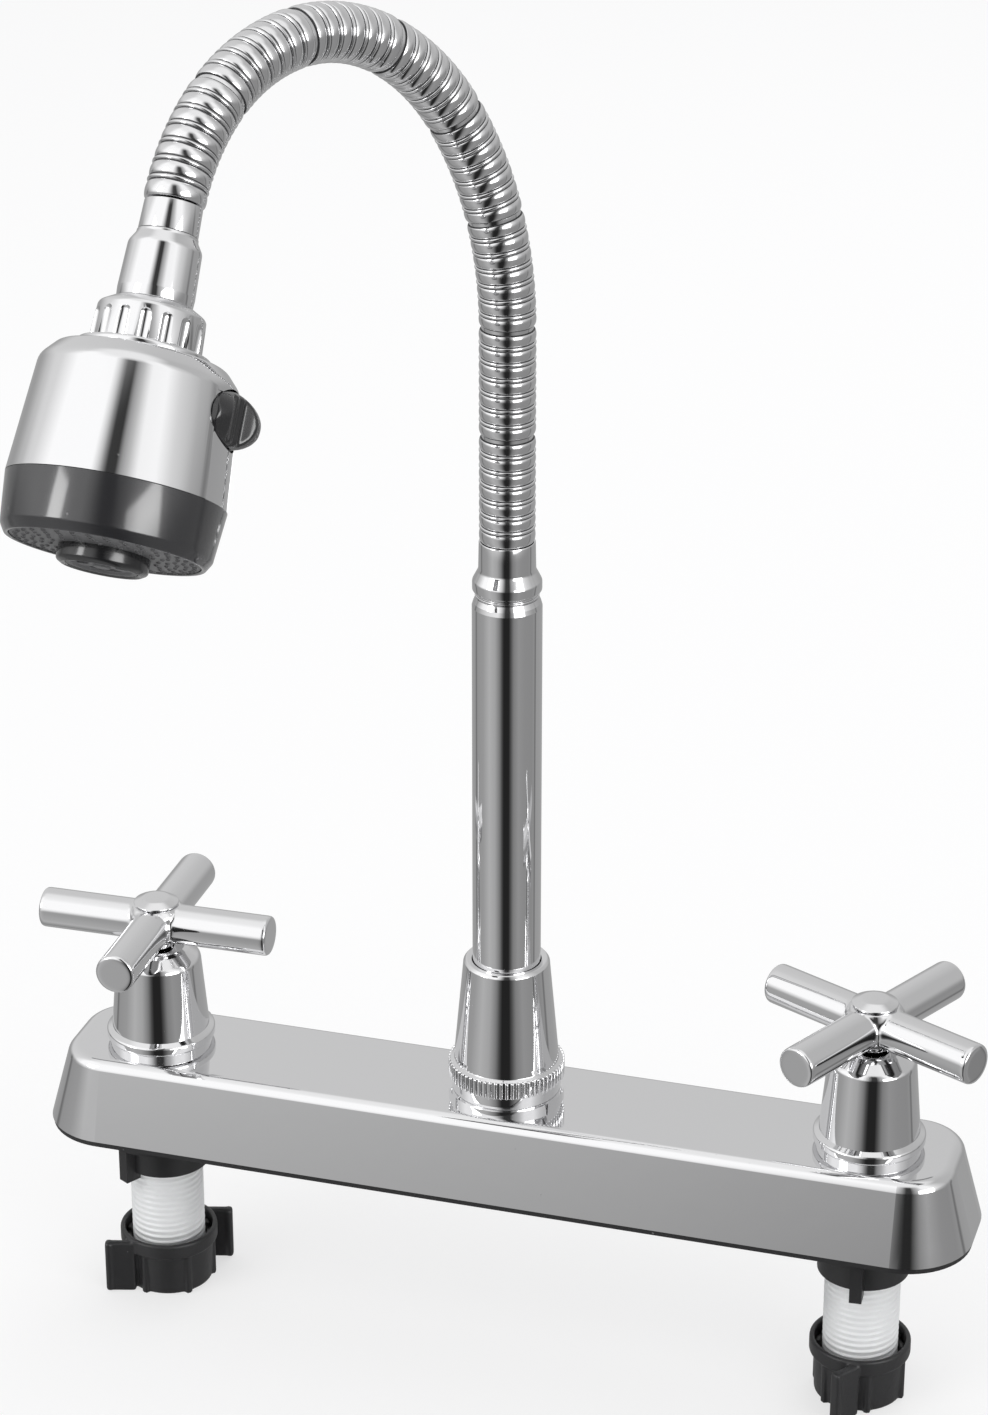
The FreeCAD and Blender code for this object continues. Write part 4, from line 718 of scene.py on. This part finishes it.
NECK_START = 186.5
NECK_HEADING = 244.0
SECTION_LENGTH = 29.05
BANDS = 7
BENDS = (0.0, 0.0, 9.0, 19.5, 30.5, 33.9, 29.6, 27.7)
SWAYS = (0.0, 0.0, -9.5, -1.5, 0.0, 1.0, 2.4, 1.5)
# shares of a band's height and radii, then heights about the ring's middle and radii
BAND_FORM = (
    (0.0, 6.92), (0.03, 7.02), (0.10, 7.13), (0.20, 7.22), (0.34, 7.29), (0.5, 7.32), (0.66, 7.29),
    (0.80, 7.22), (0.90, 7.13), (0.97, 7.02), (1.0, 6.92),
)
RING_HALF = 0.44
RING_FORM = (
    (-RING_HALF, 6.92), (-0.40, 7.10), (-0.28, 7.26), (-0.1, 7.33), (0.1, 7.33), (0.28, 7.26),
    (0.40, 7.10), (RING_HALF, 6.92),
)
BAND_INSET = 0.66
END_INSET = 0.12
SEAM_RADIUS = 6.97
JOINT_BALL = 6.70
JOINT_SOCKET = 6.90
BALL_TOP = 1.2
BALL_HEIGHTS = (-BAND_INSET, -RING_HALF, 0.0, RING_HALF, BAND_INSET, BALL_TOP)
SOCKET_HEIGHTS = (3.0, 2.0, 1.0)
SOCKET_FLOOR = 3.2
NECK_BORE = 5.2

band_metal = plated("band_chrome", 0.80, 0.10, 0.05)
# near-black finish for the grooves beside each rolled ring and for the bore: painted shade
painted_seam_shade = moulded("seam_shadow", (0.05, 0.05, 0.052), 0.5, depth=0.0)
place = Matrix.Translation((0.0, 0.0, NECK_START))
place = place @ Matrix.Rotation(math.radians(NECK_HEADING), 4, "Z")
pitch = SECTION_LENGTH / BANDS
for number, (bend, sway) in enumerate(zip(BENDS, SWAYS), start=1):
    first = number == 1
    last = number == len(BENDS)
    outline = []
    for band in range(BANDS):
        low = band * pitch + (END_INSET if first and band == 0 else BAND_INSET)
        top = band == BANDS - 1
        high = (band + 1) * pitch - (END_INSET if last and top else BAND_INSET)
        outline += [(radius, low + (high - low) * share) for share, radius in BAND_FORM]
        if not top:
            outline += [(radius, (band + 1) * pitch + rise) for rise, radius in RING_FORM]
    if last:
        outline.append((NECK_BORE, SECTION_LENGTH - END_INSET))
    else:
        for rise in BALL_HEIGHTS:
            outline.append((math.sqrt(JOINT_BALL ** 2 - rise ** 2), SECTION_LENGTH + rise))
        outline.append((NECK_BORE, SECTION_LENGTH + BALL_TOP))
    outline.append((NECK_BORE, SOCKET_FLOOR))
    if first:
        outline.append((NECK_BORE, END_INSET))
    else:
        for rise in SOCKET_HEIGHTS:
            outline.append((math.sqrt(JOINT_SOCKET ** 2 - rise ** 2), rise))
    section = turned("neck_bands_%d" % number, outline + outline[:1])
    section.data.materials.append(band_metal)
    section.data.materials.append(painted_seam_shade)
    # faces inside the seam radius, off the ball, take the painted shade of the grooves
    for face in section.data.polygons:
        radius = math.hypot(face.center.x, face.center.y)
        on_ball = abs(face.center.z - SECTION_LENGTH) < RING_HALF
        if radius < SEAM_RADIUS and not on_ball:
            face.material_index = 1
    turn = math.radians(math.hypot(bend, sway))
    aside = math.atan2(sway, bend)
    onward = Matrix.Translation((0.0, 0.0, SECTION_LENGTH))
    if turn:
        heights = [corner.co.z for corner in section.data.vertices]
        share = (max(heights) - min(heights)) / SECTION_LENGTH
        work(section, "SIMPLE_DEFORM", deform_method="BEND", deform_axis="Y", angle=turn * share)
        radius = SECTION_LENGTH / turn
        towards = Matrix.Rotation(aside, 4, "Z")
        swing = Matrix.Translation((radius * (1.0 - math.cos(turn)), 0.0, radius * math.sin(turn)))
        onward = towards @ swing @ Matrix.Rotation(turn, 4, "Y") @ towards.inverted()
        settle(section, place @ towards, band_metal, 60.0)
    else:
        settle(section, place, band_metal, 60.0)
    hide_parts("neck_section_%d" % number)
    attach(section, "spout" if first else "neck_%d" % number)
    place = place @ onward
neck_end = place

# Fittings at the neck's end. A plain sleeve grips the last band, and a bottle-shaped chromed
# adapter carries the union nut. Heights run down from the end of the neck from here on.

SWITCH_BEARING = -60.0
head_place = neck_end @ Matrix.Rotation(math.radians(180.0), 4, "X")
head_place = head_place @ Matrix.Rotation(math.radians(SWITCH_BEARING), 4, "Z")

sleeve = ring("end_sleeve", (
    (4.2, -7.4, 0.0), (7.05, -7.4, 0.1), (6.85, -0.3, 0.25), (4.2, -0.3, 0.0),
))
settle(sleeve, head_place, chrome, 40.0)
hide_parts("neck_end_sleeve")
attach(sleeve, "neck_8")

adapter = ring("bottle_adapter", (
    (4.5, -30.0, 0.0), (10.2, -30.0, 0.2), (10.2, -27.2, 0.2), (8.0, -27.2, 0.0),
    (8.0, -24.0, 0.0), (8.9, -24.0, 0.3), (9.05, -21.5, 3.0), (8.65, -10.6, 2.6),
    (7.25, -8.3, 1.2), (7.2, -7.5, 0.2), (4.5, -7.5, 0.0),
))
settle(adapter, head_place, chrome, 40.0)
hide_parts("neck_adapter")
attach(adapter, "neck_8")

# Union nut. A chromed nut with sixteen round-topped flutes pulls the head inlet against the
# adapter over a rubber washer. The inlet's disc shows below it as a thin raised ring.

FLUTES = 16
FLUTE_RADIUS = 2.05
FLUTE_FOOT = -36.0
FLUTE_TOP = -27.0
FLUTE_DISTANCE = 14.2

union = ring("fluted_union_nut", (
    (10.6, -34.6, 0.2), (13.1, -34.6, 0.3), (12.6, -25.9, 1.4), (9.7, -24.2, 0.5),
    (8.3, -24.2, 0.1), (8.3, -26.9, 0.0), (10.6, -26.9, 0.0),
), 128)
flute_tools = []
for number in range(FLUTES):
    bearing = math.radians(360.0 / FLUTES * (number + 0.5))
    tool = turned("flute_tool", rounded((
        (0.0, FLUTE_FOOT, 0.0), (FLUTE_RADIUS, FLUTE_FOOT, 0.0), (FLUTE_RADIUS, FLUTE_TOP, 1.9),
        (0.0, FLUTE_TOP, 0.0),
    ), 6), 32)
    outward = Matrix.Translation((FLUTE_DISTANCE, 0.0, 0.0))
    tool.matrix_world = Matrix.Rotation(bearing, 4, "Z") @ outward
    pick(tool)
    bpy.ops.object.transform_apply(location=True, rotation=True)
    flute_tools.append(tool)
cut_with(union, joined(*flute_tools))
work(union, "BEVEL", width=0.16, segments=2, limit_method="ANGLE", angle_limit=math.radians(28.0))
settle(union, head_place, chrome, 45.0)
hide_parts("union_nut")
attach(union, "neck_8")

inlet = ring("head_inlet_disc", (
    (4.5, -41.0, 0.0), (9.0, -41.0, 0.2), (9.0, -36.8, 0.0), (14.7, -36.8, 0.0),
    (14.7, -36.5, 0.0), (15.6, -36.4, 0.2), (15.6, -34.95, 0.6), (10.5, -34.95, 0.0),
    (10.5, -31.8, 0.2), (4.5, -31.8, 0.0),
))
settle(inlet, head_place, chrome, 40.0)
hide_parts("head_inlet")
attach(inlet, "spray_head")

# Head shell. A chromed plastic bell with a round shoulder. A panel with straight sides is let
# into one side of it, and an oval window in that panel takes the mode switch.

SWITCH_HEIGHT = -47.3
PANEL_WIDTH = 19.0
PANEL_DEPTH = 0.32
PANEL_TOP = -43.2
PANEL_FOOT = -69.0
PANEL_OUTSIDE = 28.0
# the shell's radii at the panel's top and foot, less the panel's depth
PANEL_TOP_RADIUS = 23.58 - PANEL_DEPTH
PANEL_FOOT_RADIUS = 25.75 - PANEL_DEPTH
WINDOW_HEIGHT = -48.3


def oval_tool(middle, half_height, half_width):
    """An upright oval bar that points outwards, to cut with."""
    bpy.ops.object.select_all(action="DESELECT")
    bpy.ops.mesh.primitive_cylinder_add(
        vertices=96, radius=1.0, depth=16.0, location=middle,
        rotation=(0.0, math.radians(90.0), 0.0), scale=(half_height, half_width, 1.0),
    )
    tool = bpy.context.object
    bpy.ops.object.transform_apply(location=True, rotation=True, scale=True)
    return tool


shell = ring("head_shell_bell", (
    (9.05, -36.8, 0.0), (19.6, -36.8, 2.6), (23.4, -41.0, 4.2), (25.7, -68.4, 0.0),
    (23.7, -68.4, 0.0), (21.2, -42.0, 0.0), (18.8, -38.8, 0.0), (9.05, -38.8, 0.0),
), 160)
panel_tool = turned("panel_tool", (
    (PANEL_TOP_RADIUS, PANEL_TOP), (PANEL_FOOT_RADIUS, PANEL_FOOT), (PANEL_OUTSIDE, PANEL_FOOT),
    (PANEL_OUTSIDE, PANEL_TOP), (PANEL_TOP_RADIUS, PANEL_TOP),
), 320)
panel_sides = block((25.0, 0.0, -55.0), (20.0, PANEL_WIDTH, 40.0), 0.01, 1)
cut_with(panel_tool, panel_sides, "INTERSECT")
cut_with(shell, panel_tool)
cut_with(shell, oval_tool((24.0, 0.0, WINDOW_HEIGHT), 7.0, 11.0))
work(shell, "BEVEL", width=0.12, segments=2, limit_method="ANGLE", angle_limit=math.radians(40.0))
shell_plating = plated("shell_chrome", 0.80, 0.05, 0.03)
settle(shell, head_place, shell_plating, 30.0)
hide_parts("head_shell")
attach(shell, "spray_head")

# Skirt. The shell's foot is a separate dark ring with a satin gloss and a soft lower edge.

satin = moulded("dark_satin", (0.022, 0.022, 0.024), 0.22, depth=0.03, coat=1.0)
skirt = ring("dark_skirt", (
    (22.3, -82.3, 0.3), (23.2, -82.5, 0.6), (24.6, -80.2, 1.5), (25.7, -68.5, 0.1),
    (23.1, -68.5, 0.0), (23.1, -63.0, 0.2), (21.4, -63.0, 0.2), (21.4, -80.6, 0.0),
    (22.3, -80.6, 0.0),
), 160)
settle(skirt, head_place, satin, 35.0)
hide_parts("head_skirt")
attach(skirt, "spray_head")

# Spray face. A grey disc, gently crowned, closes the skirt. Five rings of soft nozzles stand
# on it, each a small collar round a hole painted near-black as its shade.

# radius and number of nozzles
NOZZLE_RINGS = ((12.5, 16), (14.6, 20), (16.7, 26), (18.8, 30), (20.7, 34))
FACE_LEVEL = -82.5
FACE_CROWN = 0.002
CROWN_START = 10.0
HOLE_EDGE = 0.38
HOLE_MOUTH = -0.29

face_grey = moulded("face_grey", (0.105, 0.105, 0.108), 0.42, depth=0.1)
# near-black finish for the inside of each nozzle's shallow hole: painted shade
painted_hole_shade = moulded("nozzle_hole", (0.012, 0.012, 0.012), 0.6, depth=0.0)
face = ring("spray_face_disc", (
    (9.3, FACE_LEVEL, 0.2), (15.5, -82.45, 0.0), (19.5, -82.3, 0.0), (22.2, -82.0, 0.2),
    (22.2, -77.2, 0.0), (9.3, -77.2, 0.0),
), 128)
face.data.materials.append(face_grey)
face.data.materials.append(painted_hole_shade)
nozzles = []
for ring_radius, count in NOZZLE_RINGS:
    level = FACE_LEVEL + FACE_CROWN * (ring_radius - CROWN_START) ** 2
    for number in range(count):
        if not nozzles:
            nozzle = turned("nozzle", (
                (0.6, 0.3), (0.6, 0.0), (0.45, -0.3), (0.32, -0.3), (0.28, 0.1), (0.0, 0.1),
            ), 10)
            nozzle.data.materials.append(face_grey)
            nozzle.data.materials.append(painted_hole_shade)
            # faces inside the hole's edge and above its mouth take the painted shade
            for side_face in nozzle.data.polygons:
                middle = side_face.center
                if math.hypot(middle.x, middle.y) < HOLE_EDGE and middle.z > HOLE_MOUTH:
                    side_face.material_index = 1
            pattern = nozzle.data.copy()
        else:
            nozzle = another("nozzle", pattern)
        bearing = 2.0 * math.pi * (number + 0.5 * (count % 4 == 0)) / count
        spot = Matrix.Rotation(bearing, 4, "Z") @ Matrix.Translation((ring_radius, 0.0, level))
        nozzle.data.transform(spot)
        nozzles.append(nozzle)
face = joined(face, *nozzles)
settle(face, head_place, face_grey, 35.0)
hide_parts("spray_face")
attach(face, "spray_head")

# Aerator. A glossy black ring stands proud of the face. In it sits a grey insert with three
# curved slots round a hub. The diverter behind them, out of sight, is white nylon.

SLOTS = 3
SLOT_ARC = 88.0
SLOT_TURN = 20.0
# corners of the slot's tool: radius and height
SLOT_CORNERS = ((3.2, -88.0), (6.1, -88.0), (6.1, -80.0), (3.2, -80.0))

gloss = moulded("black_gloss", (0.016, 0.016, 0.017), 0.18, depth=0.03, coat=0.5)
aerator = ring("aerator_bezel", (
    (8.4, -86.2, 0.2), (9.3, -86.6, 0.3), (10.7, -85.8, 0.9), (10.7, -82.2, 0.0),
    (9.2, -82.2, 0.0), (9.2, -73.0, 0.0), (8.4, -73.0, 0.0),
))
settle(aerator, head_place, gloss, 35.0)
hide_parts("aerator_ring")
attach(aerator, "spray_head")

insert = turned("aerator_grille", rounded((
    (0.0, -86.1, 0.0), (2.0, -86.1, 0.3), (2.2, -85.6, 0.2), (6.9, -85.6, 0.2), (7.2, -86.2, 0.25),
    (8.35, -86.2, 0.2), (8.35, -75.0, 0.0), (0.0, -75.0, 0.0),
)), 96)
slots = []
for number in range(SLOTS):
    slot = drawn("slot_tool", [(radius, 0.0, height) for radius, height in SLOT_CORNERS])
    bpy.ops.mesh.edge_face_add()
    bpy.ops.mesh.spin(
        steps=20, angle=math.radians(SLOT_ARC), center=(0.0, 0.0, 0.0), axis=(0.0, 0.0, 1.0)
    )
    close_up()
    slot.data.transform(Matrix.Rotation(math.radians(360.0 / SLOTS * number + SLOT_TURN), 4, "Z"))
    slots.append(slot)
cut_with(insert, joined(*slots))
settle(insert, head_place, face_grey, 35.0)
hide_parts("aerator_insert")
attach(insert, "spray_head")
for name in ("diverter_body", "diverter_plunger"):
    dress(name, milky)

# Mode switch. A glossy black oval rocker on a steel pin: two domed lobes with a finger saddle
# between them. It stands in the window with its near lobe pressed in, and a tail inside moves
# the diverter.

SWITCH_TILT = -18.0
SWITCH_PIVOT = 19.5
ROCKER_TALL = 13.6
ROCKER_GRAIN = 0.26
TAIL_MIDDLE = (18.1, 0.0, 0.0)
TAIL_SIZE = (9.8, 2.0, 3.4)
# half of the rocker's profile from its end to the saddle: distance along the shell and radius
ROCKER_HALF = (
    (9.6, 22.4), (9.5, 24.4), (9.1, 26.0), (8.2, 27.3), (6.9, 27.9), (5.4, 27.7), (4.2, 26.8),
    (3.3, 25.9), (2.7, 25.3), (2.2, 25.15), (1.8, 25.6), (1.2, 25.75), (0.6, 25.4), (0.0, 25.3),
)
near_lobe = [(radius, across, -ROCKER_TALL / 2) for across, radius in ROCKER_HALF]
far_lobe = [(radius, -across, -ROCKER_TALL / 2) for across, radius in ROCKER_HALF[-2::-1]]
rocker = drawn("rocker_switch", near_lobe + far_lobe)
bpy.ops.mesh.edge_face_add()
bpy.ops.mesh.extrude_region_move(TRANSFORM_OT_translate={"value": (0.0, 0.0, ROCKER_TALL)})
close_up()
cut_with(rocker, oval_tool((25.0, 0.0, 0.0), 6.75, 9.65), "INTERSECT")
bpy.ops.object.select_all(action="DESELECT")
bpy.ops.mesh.primitive_uv_sphere_add(
    segments=96, ring_count=48, radius=1.0, location=(20.0, 0.0, 0.0), scale=(8.3, 14.0, 7.2),
)
dome = bpy.context.object
bpy.ops.object.transform_apply(location=True, rotation=True, scale=True)
cut_with(rocker, dome, "INTERSECT")
rocker.data.transform(Matrix.Translation((0.0, 0.0, WINDOW_HEIGHT - SWITCH_HEIGHT)))
rocker = joined(rocker, block(TAIL_MIDDLE, TAIL_SIZE, 0.2))
melted(rocker, ROCKER_GRAIN, 16)
lowered = Matrix.Translation((0.0, 0.0, SWITCH_HEIGHT))
about = Matrix.Translation((SWITCH_PIVOT, 0.0, 0.0))
tilt = about @ Matrix.Rotation(math.radians(SWITCH_TILT), 4, "Z") @ about.inverted()
settle(rocker, head_place @ lowered @ tilt, gloss, 60.0)
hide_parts("mode_switch")
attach(rocker, "switch")
